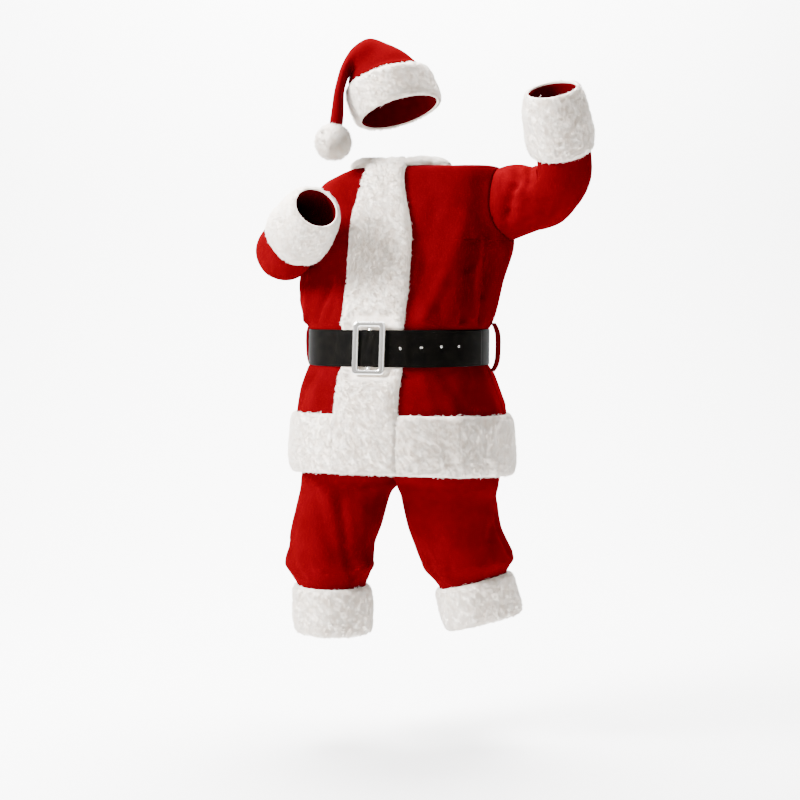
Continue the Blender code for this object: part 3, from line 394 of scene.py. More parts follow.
SLEEVE_FOLDS = {
    # from_turn in degrees, from_length, to_turn, to_length, depth, half_width (lengths in metres)
    LEFT: [
        (60, 0.02, 20, 0.10, -0.007, 0.014), (110, 0.07, 20, 0.12, -0.006, 0.013),
        (-30, 0.03, -60, 0.12, 0.006, 0.016), (200, 0.04, 230, 0.15, -0.006, 0.016),
        (80, 0.062, 18, 0.068, -0.008, 0.011), (18, 0.068, -24, 0.042, -0.010, 0.011),
        (-24, 0.042, -46, 0.016, -0.007, 0.010), (30, 0.100, -26, 0.073, 0.005, 0.013),
        (80, 0.10, 40, 0.15, 0.004, 0.009), (50, 0.020, -10, 0.022, 0.004, 0.012),
        (130, 0.03, 90, 0.13, -0.004, 0.009), (0, 0.05, -40, 0.14, -0.005, 0.010),
        (160, 0.10, 110, 0.16, -0.004, 0.009), (240, 0.06, 270, 0.16, 0.005, 0.011),
        (290, 0.02, 310, 0.12, -0.005, 0.010), (20, 0.16, 60, 0.19, -0.004, 0.008),
    ],
    RIGHT: [
        (40, 0.05, -10, 0.12, -0.006, 0.014), (150, 0.04, 220, 0.12, -0.007, 0.016),
        (-60, 0.13, 20, 0.15, -0.006, 0.013), (250, 0.10, 180, 0.16, 0.005, 0.016),
        (20, 0.08, -20, 0.15, 0.004, 0.009), (90, 0.02, 60, 0.12, -0.004, 0.010),
        (180, 0.08, 240, 0.14, 0.005, 0.010), (-90, 0.12, -20, 0.17, -0.005, 0.009),
        (300, 0.16, 240, 0.20, -0.004, 0.009), (120, 0.14, 60, 0.19, -0.004, 0.010),
    ],
}
SLEEVE_RADIUS = 0.075     # turns the folds' angles into lengths round the sleeve


def sleeve_centre(place, side):
    rows = SLEEVES[side].at(place)
    return np.stack([rows["x"], rows["y"], rows["height"] - NECK_HEIGHT], axis=-1)


def clear_of_body(points, clearance):
    """Move points that would lie in the trunk straight out from its axis, to just clear of it."""
    place = jacket_place(points[:, 2] + NECK_HEIGHT)
    angle = np.arctan2(points[:, 0], -points[:, 1])
    reach = np.hypot(points[:, 0], points[:, 1])
    least = np.hypot(*jacket(angle, place)[:, :2].T) + clearance
    below_armhole = place < ARMHOLE_MIDDLE
    scale = np.where(below_armhole & (reach < least), least / reach, 1)
    moved = points.copy()
    moved[:, :2] *= scale[:, None]
    return moved


def sleeve_surface(side):
    """The outer surface of a sleeve, by the angle round it and the place along it from the armhole."""
    table = SLEEVES[side]

    def tube(turn, place):
        rows = table.at(place)
        along = unit(sleeve_centre(place + 1e-3, side) - sleeve_centre(place - 1e-3, side))
        axis = unit(ELBOW_AXIS[side] - (along @ ELBOW_AXIS[side])[:, None] * along)
        inward = np.cross(axis, along)
        offset = turn - ELBOW_AXIS_TURN[side]
        in_plane = side * np.sin(offset)
        radius = np.where(in_plane > 0, rows["inner"], rows["outer"])
        return (sleeve_centre(place, side) + axis * (rows["across"] * np.cos(offset))[:, None]
                + inward * (radius * in_plane)[:, None])

    def surface(around, place):
        turn = -side * around
        head = ease(place / SLEEVE_HEAD)[:, None]
        ring = armhole_ring(turn, side, ARMHOLE_INSET)
        start = sleeve_centre(np.zeros_like(place), side)
        moved = ring + sleeve_centre(place, side) - start
        points = (1 - head) * moved + head * tube(turn, place)
        length = place * table.length
        relief = fold_relief(turn, length, SLEEVE_FOLDS[side], SLEEVE_RADIUS)
        outward = unit(points - sleeve_centre(place, side))
        points = points + outward * relief[:, None]
        return clear_of_body(points, BODY_CLEARANCE * ease(place / 0.08))

    return surface


# ---------------------------------------------------------------- trousers

TROUSER_INSET = 0.016     # between the jacket and the trousers' hips
WAIST_INSET = 0.0014      # the jacket's wall is this far out between the belt's edges, less the seam
LEG_TOP_INSET = 0.0038    # under the waistband
CROTCH_TOP = 0.850        # height at which the centre seam has reached the front and back
HIP_HEIGHTS = np.array([0.87, 0.932, 0.951, 0.964, 0.9785])
WAIST_HEIGHT = 1.002
LOWEST_HIP = 0.71         # the jacket's hem, below which its shape isn't followed


def leg_sections(*rows):
    return Sections(("height", "x", "y", "half_width", "half_depth", "tilt"), rows,
                    spaced_by=("height",))


LEGS = {
    RIGHT: leg_sections(
        ("bottom",    0.296, -0.161, -0.058, 0.088, 0.090, 0.02),
        ("cuff_top",  0.412, -0.168, -0.052, 0.088, 0.090, 0.02),
        ("gather",    0.428, -0.171, -0.050, 0.096, 0.098, 0.02),
        ("blouse",    0.466, -0.176, -0.043, 0.113, 0.117, 0),
        ("shin",      0.510, -0.174, -0.035, 0.111, 0.116, 0),
        ("knee",      0.572, -0.163, -0.020, 0.116, 0.120, 0),
        ("thigh",     0.645, -0.147, -0.010, 0.118, 0.128, 0),
        ("crotch",    0.682, -0.130, -0.008, 0.1295, 0.136, 0),
        ("hip",       0.800, -0.124, -0.010, 0.1235, 0.150, 0)),
    LEFT: leg_sections(
        ("bottom",    0.322, 0.204, 0.074, 0.086, 0.090, 0.29),
        ("cuff_top",  0.424, 0.179, 0.060, 0.086, 0.090, 0.27),
        ("gather",    0.440, 0.177, 0.056, 0.094, 0.097, 0.22),
        ("blouse",    0.474, 0.169, 0.045, 0.116, 0.117, 0.12),
        ("shin",      0.520, 0.153, 0.033, 0.116, 0.117, 0.05),
        ("knee",      0.572, 0.137, 0.020, 0.117, 0.120, 0),
        ("thigh",     0.645, 0.130, 0.004, 0.120, 0.128, 0),
        ("crotch",    0.682, 0.130, -0.006, 0.1295, 0.136, 0),
        ("hip",       0.800, 0.124, -0.010, 0.1235, 0.150, 0)),
}
LEG_RADIUS = 0.115        # turns the folds' angles into lengths round the leg
LEG_FOLDS_TOP = 0.70      # height at which the folds have faded out
LEG_FOLDS_FADE = 0.04
LEG_FOLDS = {
    # from_angle in degrees from the inseam by the front, from_height, to_angle, to_height,
    # depth, half_width
    RIGHT: [
        (120, 0.68, 60, 0.50, -0.007, 0.018), (150, 0.52, 110, 0.45, -0.006, 0.014),
        (60, 0.60, 40, 0.47, 0.006, 0.018), (200, 0.62, 220, 0.47, -0.007, 0.018),
        (270, 0.64, 290, 0.48, -0.006, 0.020), (320, 0.56, 300, 0.46, 0.006, 0.018),
        (78, 0.665, 34, 0.445, -0.015, 0.013), (51, 0.665, 16, 0.47, 0.008, 0.014),
        (0, 0.466, 24, 0.462, 0.009, 0.015), (104, 0.50, 92, 0.45, -0.004, 0.010),
        (140, 0.60, 150, 0.47, 0.005, 0.012), (180, 0.56, 176, 0.46, -0.008, 0.011),
        (240, 0.56, 246, 0.46, 0.007, 0.012), (300, 0.60, 296, 0.47, -0.008, 0.012),
        (340, 0.52, 344, 0.45, -0.004, 0.009),
    ],
    LEFT: [
        (110, 0.68, 60, 0.53, -0.007, 0.018), (170, 0.58, 130, 0.48, -0.007, 0.015),
        (50, 0.60, 70, 0.48, 0.006, 0.018), (210, 0.62, 200, 0.50, 0.006, 0.018),
        (270, 0.66, 250, 0.49, -0.006, 0.020), (320, 0.58, 300, 0.48, -0.006, 0.018),
        (110, 0.68, 60, 0.53, 0.004, 0.018), (80, 0.48, 74, 0.445, 0.004, 0.007),
        (62, 0.50, 56, 0.45, -0.004, 0.009), (150, 0.53, 140, 0.47, 0.005, 0.009),
        (185, 0.60, 180, 0.49, -0.008, 0.012), (230, 0.58, 236, 0.48, -0.008, 0.012),
        (290, 0.58, 284, 0.48, 0.007, 0.012), (340, 0.54, 344, 0.46, -0.004, 0.009),
    ],
}


def leg_surface(side):
    """A trouser leg, by the angle from its inseam (from the front on the left leg, from the back's
    end on the right) and the height above the soles."""
    table = LEGS[side]
    heights = table.values[:, 0]
    crotch = table.size("crotch", "height")

    def surface(around, height):
        turn = side * around
        rows = table.at(np.interp(height, heights, table.stops))
        relief = fold_relief(turn, height, LEG_FOLDS[side], LEG_RADIUS)
        relief = relief * ease((LEG_FOLDS_TOP - height) / LEG_FOLDS_FADE)
        sideways = -side * (rows["half_width"] + relief) * np.cos(turn)
        leg = np.stack([rows["x"] + sideways,
                        rows["y"] - (rows["half_depth"] + relief) * np.sin(turn),
                        height + side * rows["tilt"] * sideways - NECK_HEIGHT], axis=-1)
        under_belt = ease((JACKET.size("belt_bottom", "height") - height) / 0.03)
        inset = LEG_TOP_INSET + (TROUSER_INSET - LEG_TOP_INSET) * under_belt
        angle = side * turn / 2
        hip_place = jacket_place(np.maximum(height, LOWEST_HIP))
        hips = jacket_smooth(angle, hip_place)
        hips = hips - inset[:, None] * normals(jacket_smooth, angle, hip_place)
        hips[:, 0] += side * SEAM / 2
        hips[:, 2] = height - NECK_HEIGHT
        rise = np.clip((height - crotch) / (CROTCH_TOP - crotch), 0, 1)
        open_part = ((1 - (1 - rise) ** 2) ** 0.9)[:, None]
        return (1 - open_part) * leg + open_part * hips

    return surface


# ---------------------------------------------------------------- hat

HAT_TURN = math.radians(20)   # the hat folds over in a plane turned this far from the front
HAT = Sections(
    ("in_side", "in_height", "out_side", "out_height", "depth_at", "half_depth", "lean"),
    [("edge",     -0.0970, 1.5900, 0.0920, 1.6400, -0.035, 0.104, 0.22),
     ("band_top", -0.1260, 1.6670, 0.0590, 1.7140, -0.030, 0.104, 0.22),
     ("crown",    -0.1290, 1.6830, 0.0425, 1.7310, -0.030, 0.094, 0.18),
     ("fold_a",   -0.1280, 1.6950, 0.0110, 1.7590, -0.030, 0.082, 0.11),
     ("fold_b",   -0.1255, 1.7015, -0.0295, 1.7800, -0.032, 0.070, 0.04),
     ("peak",     -0.1240, 1.7045, -0.0740, 1.7940, -0.036, 0.060, 0),
     ("over_a",   -0.1250, 1.7030, -0.1140, 1.7740, -0.042, 0.050, 0),
     ("over_b",   -0.1285, 1.6960, -0.1390, 1.7390, -0.050, 0.042, 0),
     ("tail_top", -0.1335, 1.6810, -0.1530, 1.7030, -0.060, 0.032, 0),
     ("tail_mid", -0.1390, 1.6490, -0.1645, 1.6550, -0.068, 0.025, 0),
     ("tail_low", -0.1395, 1.6080, -0.1710, 1.6080, -0.074, 0.020, 0),
     ("tail_end", -0.1415, 1.5780, -0.1750, 1.5780, -0.077, 0.016, 0),
     ("tip",      -0.1590, 1.5620, -0.1730, 1.5620, -0.080, 0.007, 0)],
    spaced_by=("out_side", "out_height"))


def hat_surface(turn, place):
    """The hat: rings that fan out round the fold, turn starting at the ring's outer end."""
    rows = HAT.at(place)
    centre_side = (rows["in_side"] + rows["out_side"]) / 2
    centre_height = (rows["in_height"] + rows["out_height"]) / 2
    sideways = centre_side + (rows["out_side"] - rows["in_side"]) / 2 * np.cos(turn)
    depth = rows["depth_at"] + rows["half_depth"] * np.sin(turn)
    height = centre_height + (rows["out_height"] - rows["in_height"]) / 2 * np.cos(turn)
    height = height - rows["lean"] * rows["half_depth"] * np.sin(turn)
    return np.stack([sideways * math.cos(HAT_TURN) - depth * math.sin(HAT_TURN),
                     sideways * math.sin(HAT_TURN) + depth * math.cos(HAT_TURN),
                     height - NECK_HEIGHT], axis=-1)


# ---------------------------------------------------------------- closed walls

def in_scene(name, data):
    made = bpy.data.objects.new(name, data)
    bpy.context.scene.collection.objects.link(made)
    return made


def mesh_object(name, bm, finish):
    mesh = bpy.data.meshes.new(name)
    bm.to_mesh(mesh)
    bm.free()
    mesh.materials.append(finish)
    mesh.polygons.foreach_set("use_smooth", np.ones(len(mesh.polygons), dtype=bool))
    return in_scene(name, mesh)


def shell(name, surface, where, columns, rows, low, high, finish, joined=None):
    """A closed wall over a surface, with its columns and rows at the given stops.

    where(column, row) gives the surface's own two coordinates. low and high are the wall's two
    faces, as distances out from the surface, each a number or a function of column, row and the
    points there. joined(row) says where the wall's two side edges are one, as round a tube.
    """
    last = len(columns) - 1
    bm = bmesh.new()
    across, up, outer = (bm.verts.layers.float.new(key) for key in ("across", "up", "outer"))
    bmesh.ops.create_grid(bm, x_segments=last, y_segments=len(rows) - 1, size=0.5)
    bmesh.ops.triangulate(bm, faces=bm.faces[:], quad_method="FIXED")
    sides = {}
    for vert in bm.verts:
        column, row = round((vert.co.x + 0.5) * last), round((vert.co.y + 0.5) * (len(rows) - 1))
        vert[across], vert[up], vert[outer] = column, row, 1
        if column in (0, last):
            sides[column, row] = vert
    if joined is not None:
        bmesh.ops.weld_verts(bm, targetmap={sides[last, row]: sides[0, row]
                                            for row, stop in enumerate(rows) if joined(stop)})
    wall = bmesh.ops.extrude_face_region(bm, geom=bm.faces[:])
    for part in wall["geom"]:
        if isinstance(part, bmesh.types.BMVert):
            part[outer] = 0
    column, row, side = (np.array([vert[layer] for vert in bm.verts]).round().astype(int)
                         for layer in (across, up, outer))
    u, v = columns[column], rows[row]
    a, b = where(u, v)
    points = surface(a, b)
    outward = normals(surface, a, b)
    lift = [face(u, v, points) if callable(face) else np.full_like(u, face) for face in (low, high)]
    placed = points + outward * np.where(side == 1, lift[1], lift[0])[:, None]
    for vert, point in zip(bm.verts, placed):
        vert.co = point
    bmesh.ops.recalc_face_normals(bm, faces=bm.faces[:])
    if bm.calc_volume(signed=True) < 0:
        bmesh.ops.reverse_faces(bm, faces=bm.faces[:])
    return mesh_object(name, bm, finish)


def rounded(places, fullness=4.0, edge=0.22):
    """Thickness from edge at the sides of a fur strip to 1 in its middle, places going from 0 to 1."""
    return edge + (1 - edge) * np.maximum(0, 1 - np.abs(2 * places - 1) ** fullness) ** 0.5


def edge_spaced(first, last, count):
    """Stops that lie closer near both ends."""
    return first + (last - first) * (1 - np.cos(np.linspace(0, math.pi, count + 1))) / 2


def fur(first, last, depth):
    """The outer face of a strip of fur that runs between two row stops."""
    def face(u, v, points):
        return depth * rounded((v - first) / (last - first)) + FUR_LUMP * lumps(points, FUR_TUFT)
    return face


def everywhere(_):
    """For a wall whose side edges are joined all the way along."""
    return True


def same(a, b):
    """For a surface that is read at the wall's own stops."""
    return a, b


# The rows that the jacket's panels share with all that lies on them.
HEM_ROWS = edge_spaced(JACKET.place["hem"], JACKET.place["fur_top"], 4)
BELT_OFFSETS = np.array([0.046, LOOP_HEIGHT / 2, 0.073, 0.090])   # up and down from its middle
BELT_ROWS = jacket_place(BELT_HEIGHT + np.concatenate([-BELT_OFFSETS[::-1], BELT_OFFSETS]))
LOOP_ENDS = jacket_place(BELT_HEIGHT + LOOP_HEIGHT * np.array([-0.5, 0.5]))
ARMHOLE_STOPS = ARMHOLE_MIDDLE - ARMHOLE_HALF * np.cos(np.linspace(0, math.pi, ARMHOLE_ROWS + 1))
COLLAR_ROWS = edge_spaced(JACKET.place["neck_slope"], 1, 4)
BODY_ROWS = np.concatenate([
    HEM_ROWS, [(HEM_ROWS[-1] + BELT_ROWS[0]) / 2], BELT_ROWS,
    np.linspace(BELT_ROWS[-1], ARMHOLE_STOPS[0], 7)[1:-1], ARMHOLE_STOPS,
    [JACKET.place["shoulder"]], COLLAR_ROWS])


def loop_chord(angle, share):
    """The straight surface between a belt loop's two sewn ends on the jacket."""
    low, high = (jacket(angle, np.full_like(angle, end)) for end in LOOP_ENDS)
    return low + (high - low) * share[:, None]


def loop_under(share):
    """How far a belt loop's underside stands off that surface."""
    return LOOP_LIFT + (LOOP_STAND - LOOP_LIFT) * (1 - np.abs(2 * share - 1) ** 3.4)


# ---------------------------------------------------------------- materials

TONE_STOPS = (0.36, 0.66)     # values of the noise at which a material has its two tones


def new_material(name, **shader_values):
    """A material, its node tree and its Principled shader, whose sockets have the given values."""
    made = bpy.data.materials.new(name)
    made.use_nodes = True
    shader = made.node_tree.nodes["Principled BSDF"]
    for socket, value in shader_values.items():
        shader.inputs[socket.replace("_", " ")].default_value = value
    return made, made.node_tree, shader


def node(tree, kind, **inputs):
    made = tree.nodes.new(kind)
    for name, value in inputs.items():
        made.inputs[name].default_value = value
    return made


def surface_material(name, tones, tone_scale, bumps, **shader_values):
    """A material whose colour wanders between two tones, with layers of noise bump.

    Each bump is the scale of its noise, its strength and its height in metres.
    """
    made, tree, shader = new_material(name, **shader_values)
    coords = node(tree, "ShaderNodeTexCoord")
    tone = node(tree, "ShaderNodeTexNoise", Scale=tone_scale, Detail=6.0)
    tree.links.new(coords.outputs["Object"], tone.inputs["Vector"])
    ramp = node(tree, "ShaderNodeValToRGB")
    for element, stop, colour in zip(ramp.color_ramp.elements, TONE_STOPS, tones):
        element.position = stop
        element.color = (*colour, 1)
    tree.links.new(tone.outputs["Fac"], ramp.inputs["Fac"])
    tree.links.new(ramp.outputs["Color"], shader.inputs["Base Color"])
    last = None
    for scale, strength, distance in bumps:
        grain = node(tree, "ShaderNodeTexNoise", Scale=scale, Detail=4.0)
        tree.links.new(coords.outputs["Object"], grain.inputs["Vector"])
        bump = node(tree, "ShaderNodeBump", Strength=strength, Distance=distance)
        tree.links.new(grain.outputs["Fac"], bump.inputs["Height"])
        if last is not None:
            tree.links.new(last.outputs["Normal"], bump.inputs["Normal"])
        last = bump
    tree.links.new(last.outputs["Normal"], shader.inputs["Normal"])
    return made


PLUSH = surface_material(
    "red_plush", tones=((0.056, 0.0001, 0.0012), (0.070, 0.0002, 0.0017)), tone_scale=14,
    bumps=[(900, 0.45, 0.0012), (150, 0.30, 0.0015)],
    Roughness=0.85, Specular_IOR_Level=0.0,
    Sheen_Weight=0.05, Sheen_Roughness=0.40, Sheen_Tint=(1.0, 0.01, 0.02, 1))
FUR = surface_material(
    "white_fur", tones=((0.80, 0.70, 0.60), (0.92, 0.86, 0.78)), tone_scale=60,
    bumps=[(500, 0.35, 0.0015), (120, 0.22, 0.002)],
    Roughness=0.85, Specular_IOR_Level=0.15, Sheen_Weight=0.25, Sheen_Roughness=0.5)
VINYL = surface_material(
    "belt_vinyl", tones=((0.0010, 0.0009, 0.0008), (0.0024, 0.0021, 0.0016)), tone_scale=40,
    bumps=[(700, 0.10, 0.0004), (45, 0.10, 0.002)],
    Roughness=0.58, Specular_IOR_Level=0.02)
NICKEL = surface_material(
    "buckle_metal", tones=((0.93, 0.93, 0.91), (0.97, 0.97, 0.95)), tone_scale=80,
    bumps=[(1500, 0.03, 0.0002), (300, 0.02, 0.0004)],
    Roughness=0.21, Metallic=1.0)


# ---------------------------------------------------------------- cloth

def refine(stops, step):
    """The same stops with as many between each pair as the step asks for."""
    finer = [np.linspace(a, b, max(1, math.ceil(abs(b - a) / step)) + 1)[:-1]
             for a, b in zip(stops[:-1], stops[1:])]
    return np.append(np.concatenate(finer), stops[-1])


def dress(piece, node_name):
    """Put a piece on the body, in place of the frame's node where it has one."""
    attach(piece, "root")
    if node_name:
        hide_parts(node_name)
    return piece


PANEL_WIDTH = 0.30        # about how wide a panel is, which turns its laps into lengths
SEAM_ROLL = 0.0003        # how far a panel's sewn edges roll in
SEAM_ROLL_WIDTH = 0.004


def cloth(node_name, surface, where, columns, rows, joined=None):
    """A panel of plush with soft unevenness, rolled in a little along its sewn edges."""
    def outer(u, v, points):
        relief = 0.0008 * lumps(points, 0.11) + 0.0002 * lumps(points[:, [1, 2, 0]], 0.037)
        if joined is None:
            lap_width = PANEL_WIDTH / (columns[-1] - columns[0])
            edge = np.minimum(u - columns[0], columns[-1] - u) * lap_width
            relief -= SEAM_ROLL * np.exp(-(edge / SEAM_ROLL_WIDTH) ** 2)
        return relief

    def inner(u, v, points):
        return outer(u, v, points) - CLOTH

    panel = shell(node_name + "_cloth", surface, where, columns, rows, inner, outer, PLUSH, joined)
    return dress(panel, node_name)


# ---------------------------------------------------------------- fur

def edge_pull(sides, cell, part, reach):
    """-1 at the first edge and 1 at the last, fading to 0 further than reach metres inside them."""
    steps = np.linalg.norm(sides, axis=2).mean(axis=1)
    at = (np.cumsum(steps) - steps)[cell] + part * steps[cell]
    return ease(1 - (steps.sum() - at) / reach) - ease(1 - at / reach)


class Scatter:
    """Places spread evenly by area over the surface position(u, v), and the directions there."""

    def __init__(self, position, columns, rows, count, random):
        u, v = (a.ravel() for a in np.meshgrid(columns, rows, indexing="ij"))
        grid = position(u, v).reshape(len(columns), len(rows), 3)
        self.sides, self.rises = np.diff(grid, axis=0), np.diff(grid, axis=1)
        along, up = self.sides[:, :-1], self.rises[:-1]
        area = np.linalg.norm(np.cross(along, up), axis=2).ravel()
        cell = random.choice(len(area), count, p=area / area.sum())
        self.column, self.row = np.divmod(cell, len(rows) - 1)
        self.part_u, self.part_v = random.random(count), random.random(count)
        self.u = columns[self.column] + self.part_u * (columns[self.column + 1] - columns[self.column])
        self.v = rows[self.row] + self.part_v * (rows[self.row + 1] - rows[self.row])
        self.points = position(self.u, self.v)
        self.side = unit(along.reshape(-1, 3)[cell])
        self.rise = unit(up.reshape(-1, 3)[cell])
        self.out = unit(np.cross(self.side, self.rise))

    def outward_at_edges(self, spill, much):
        """Out over the edges of the columns and the rows: much at an edge, fading to 0 over a spill."""
        over = np.zeros_like(self.out)
        if spill[0]:
            over += self.side * (much * edge_pull(self.sides, self.column, self.part_u, spill[0]))[:, None]
        if spill[1]:
            upward = self.rises.transpose(1, 0, 2)
            over += self.rise * (much * edge_pull(upward, self.row, self.part_v, spill[1]))[:, None]
        return over


def joined_mesh(name, points, faces, finish, facing):
    """One mesh of many small faces, shaded as if each point faced the way it is given."""
    mesh = bpy.data.meshes.new(name)
    mesh.vertices.add(len(points))
    mesh.vertices.foreach_set("co", points.astype(np.float32).ravel())
    mesh.loops.add(faces.size)
    mesh.loops.foreach_set("vertex_index", faces.astype(np.int32).ravel())
    mesh.polygons.add(len(faces))
    mesh.polygons.foreach_set("loop_start", np.arange(len(faces), dtype=np.int32) * faces.shape[1])
    mesh.polygons.foreach_set("use_smooth", np.ones(len(faces), dtype=bool))
    mesh.update(calc_edges=True)
    mesh.normals_split_custom_set_from_vertices(facing.tolist())
    mesh.materials.append(finish)
    return in_scene(name, mesh)


STRAND_WIDTH = 0.0008
STRAND_TWIST = np.array([0.3, 0.5, 0.8])    # which way a strand's first corner points


def spikes(name, root, tip, facing):
    """Thin three-sided strands of fur from their roots to their tips."""
    spine = unit(tip - root)
    across = unit(np.cross(spine, STRAND_TWIST))
    around = np.cross(spine, across)
    corners = [root + STRAND_WIDTH * (across * math.cos(t) + around * math.sin(t))
               for t in (0, TURN / 3, 2 * TURN / 3)]
    points = np.stack([*corners, tip], axis=1).reshape(-1, 3)
    first = 4 * np.arange(len(root))[:, None]
    faces = np.concatenate([first + np.array([[a, b, 3]]) for a, b in ((0, 1), (1, 2), (2, 0))])
    return joined_mesh(name, points, faces, FUR, np.repeat(facing, 4, axis=0))


LOCK = 7                  # strands in a lock of pile
TRIM_CLUMP = 0.0028       # how far a lock's roots stand from its middle, on the trims
TRIM_LEAN = 0.25          # how much their pile leans along its flow
SPILL = 0.012             # width along an edge in which the pile leans out over it
ROOT_DEPTH = 0.001        # of the strands in their backing
TIP_SPREAD = 0.60         # of a lock's tips, as a share of its roots' spread


def strands(name, position, columns, rows, count, length, clump=TRIM_CLUMP, lean=TRIM_LEAN,
            flow=(0, 0, -1), spill=(0.0, SPILL), tall_at=None, seed=1):
    """Locks of pile standing on the surface position(u, v).

    The tips of a lock draw together, and lean along flow. Those within a spill of the first and
    last columns and rows lean out over the edge there, in uneven tufts.
    """
    random = np.random.default_rng(seed)
    locks = Scatter(position, columns, rows, max(1, count // LOCK), random)
    centre, number = locks.points, len(locks.points)
    each = np.repeat(np.arange(number), LOCK)
    spread = random.normal(0, clump, (len(each), 2))
    root = (centre[each] + locks.side[each] * spread[:, :1] + locks.rise[each] * spread[:, 1:]
            - locks.out[each] * ROOT_DEPTH)
    swirl = np.stack([lumps(centre, 0.03), lumps(centre[:, [1, 2, 0]], 0.026),
                      lumps(centre[:, [2, 0, 1]], 0.034)], axis=-1)
    tufts = 0.75 + 0.45 * lumps(centre, 0.021) + 0.25 * random.random(number)   # uneven along an edge
    over = locks.outward_at_edges(spill, tufts)
    direction = unit(locks.out + 0.9 * over + lean * (np.array(flow) + 0.12 * swirl)
                     + random.normal(0, 0.10, locks.out.shape))
    tall = length * (0.92 + 0.12 * random.random(number))   # and in height from lock to lock
    if tall_at is not None:
        tall *= tall_at(locks.u, locks.v)
    lock_tip = centre + direction * tall[:, None]
    tip = lock_tip[each] + (root - centre[each]) * TIP_SPREAD + random.normal(0, 0.0008, root.shape)
    tip = root + (tip - root) * (0.82 + 0.22 * random.random(len(each)))[:, None]
    facing = unit(locks.out[each] + random.normal(0, 0.06, root.shape))
    return spikes(name, root, tip, facing)


PILE_LENGTH = 0.0068      # of a strand where nothing presses on the fur
BACKING = 0.0045          # depth of the pile over its backing there
THINNEST_BACKING = 0.0012
PRESSED_FUR = 0.003       # thickness of fur whose pile is fully pressed
FREE_RISE = 0.010         # and how much thicker it is where the pile stands free
FLAT_PILE = 0.12          # share of its length and depth that pressed pile keeps


def fur_strip(name, surface, where, columns, rows, count, steps, joined=None, depth=FUR_PILE, face=None,
              **growth):
    """A strip of fur: a soft backing under its face, and its pile of about count strands.

    steps are the backing's finest divisions, in the units of its columns and of its rows.
    """
    face = face or fur(rows[0], rows[-1], depth)
    fine_columns, fine_rows = refine(columns, steps[0]), refine(rows, steps[1])

    def freedom(full):
        """How free the pile is to stand up, from how thick the fur is there."""
        return np.clip((full - PRESSED_FUR) / FREE_RISE, FLAT_PILE, 1)

    def backing(u, v, points):
        full = face(u, v, points)
        return np.maximum(full - BACKING * freedom(full), THINNEST_BACKING)

    base = shell(name + "_backing", surface, where, fine_columns, fine_rows, SEAM, backing, FUR, joined)

    def position(u, v):
        a, b = where(u, v)
        points = surface(a, b)
        return points + normals(surface, a, b) * backing(u, v, points)[:, None]

    def tall_at(u, v):
        a, b = where(u, v)
        return freedom(face(u, v, surface(a, b)))

    pile = strands(name + "_pile", position, fine_columns, fine_rows,
                   count, PILE_LENGTH,
                   spill=(0.0 if joined else SPILL, SPILL), tall_at=tall_at, **growth)
    dress(base, name)
    dress(pile, None)
    return [base, pile]


# ---------------------------------------------------------------- the suit

CLOTH_STEP = 0.0085       # metres between the rows of a panel's mesh
TUBE_STEP = 0.1           # radians between the columns of a sleeve's or the hat's mesh
LEG_STEP = 0.085          # and of a trouser leg's
PLACKET_STEP, FRONT_STEP, BACK_STEP = 0.10, 0.027, 0.0112   # laps between those of the jacket's panels
NEAR_ARMHOLE = np.array([0.02, 0.08, 0.18, 0.34, 0.55, 0.78])   # closer rows where an armhole ends


def dress_jacket():
    step = CLOTH_STEP / JACKET.length
    near = step * NEAR_ARMHOLE
    rows = np.union1d(refine(BODY_ROWS, step),
                      np.concatenate([ARMHOLE_STOPS[0] + near, ARMHOLE_STOPS[-1] - near]))
    fronts = np.append(refine(PLACKET_LAPS, PLACKET_STEP), refine(SIDE_LAPS, FRONT_STEP)[1:])
    panels = {}
    for name, laps, back in (("jacket_front_left", fronts, False),
                             ("jacket_front_right", 5 - fronts[::-1], False),
                             ("jacket_back", refine(BACK_LAPS, BACK_STEP), True)):
        def where(lap, place, back=back):
            return body_angle(lap, place, back, SEAM / 2), place
        panels[name] = cloth(name, jacket, where, laps, rows)
    return panels


HEM_DEPTH = 0.25          # from the body's axis to the hem band beside the placket
PLACKET_EXTRA = 0.001     # depth of the placket's fur over that of the other trims
RAIL_END_LAP = 0.55       # share of the placket's half width that the buckle's rails press on
RAIL_FADE = 0.3
PLACKET_ROWS = np.concatenate([[0], BODY_ROWS[BODY_ROWS < COLLAR_ROWS[0] - 0.001],
                               [COLLAR_ROWS[0] - 0.002]])


def beside_placket(lap, place):
    clear = PLACKET_CLEARANCE / HEM_DEPTH * ((lap < 1.001) * 1.0 - (lap > 3.999))
    return body_angle(lap, place) + clear, place


def on_placket(lap, place):
    return placket_half_angle(place) * lap, place


def round_collar(lap, place):
    return body_angle(lap, place, centre_gap=COLLAR_GAP / 2), place


def placket_face(lap, place, points):
    """The placket's fur, pressed flat under the belt and behind the buckle's rails."""
    across, up = (lap + 1) / 2, place / PLACKET_ROWS[-1]
    off_belt = np.abs(points[:, 2] + NECK_HEIGHT - BELT_HEIGHT)
    belt_edge, beyond_belt, buckle_edge, beyond_buckle = BELT_OFFSETS
    belt = fade(off_belt, belt_edge, beyond_belt - belt_edge)
    buckle = (fade(off_belt, buckle_edge, beyond_buckle - buckle_edge)
              * fade(np.abs(lap), RAIL_END_LAP, RAIL_FADE))
    beside_hem = 1 - ease((place - HEM_ROWS[-1]) / 0.02 + 1)
    sides = rounded(across, 8) * (1 - beside_hem) + rounded(across, 30, 0.6) * beside_hem
    free = (FUR_PILE + PLACKET_EXTRA) * sides * rounded(up, 60) + 0.5 * FUR_LUMP * lumps(points, FUR_TUFT)
    pressed = free + (UNDER_BUCKLE - free) * buckle
    return pressed + (UNDER_BELT * rounded(across, 8, 0.5) - pressed) * belt


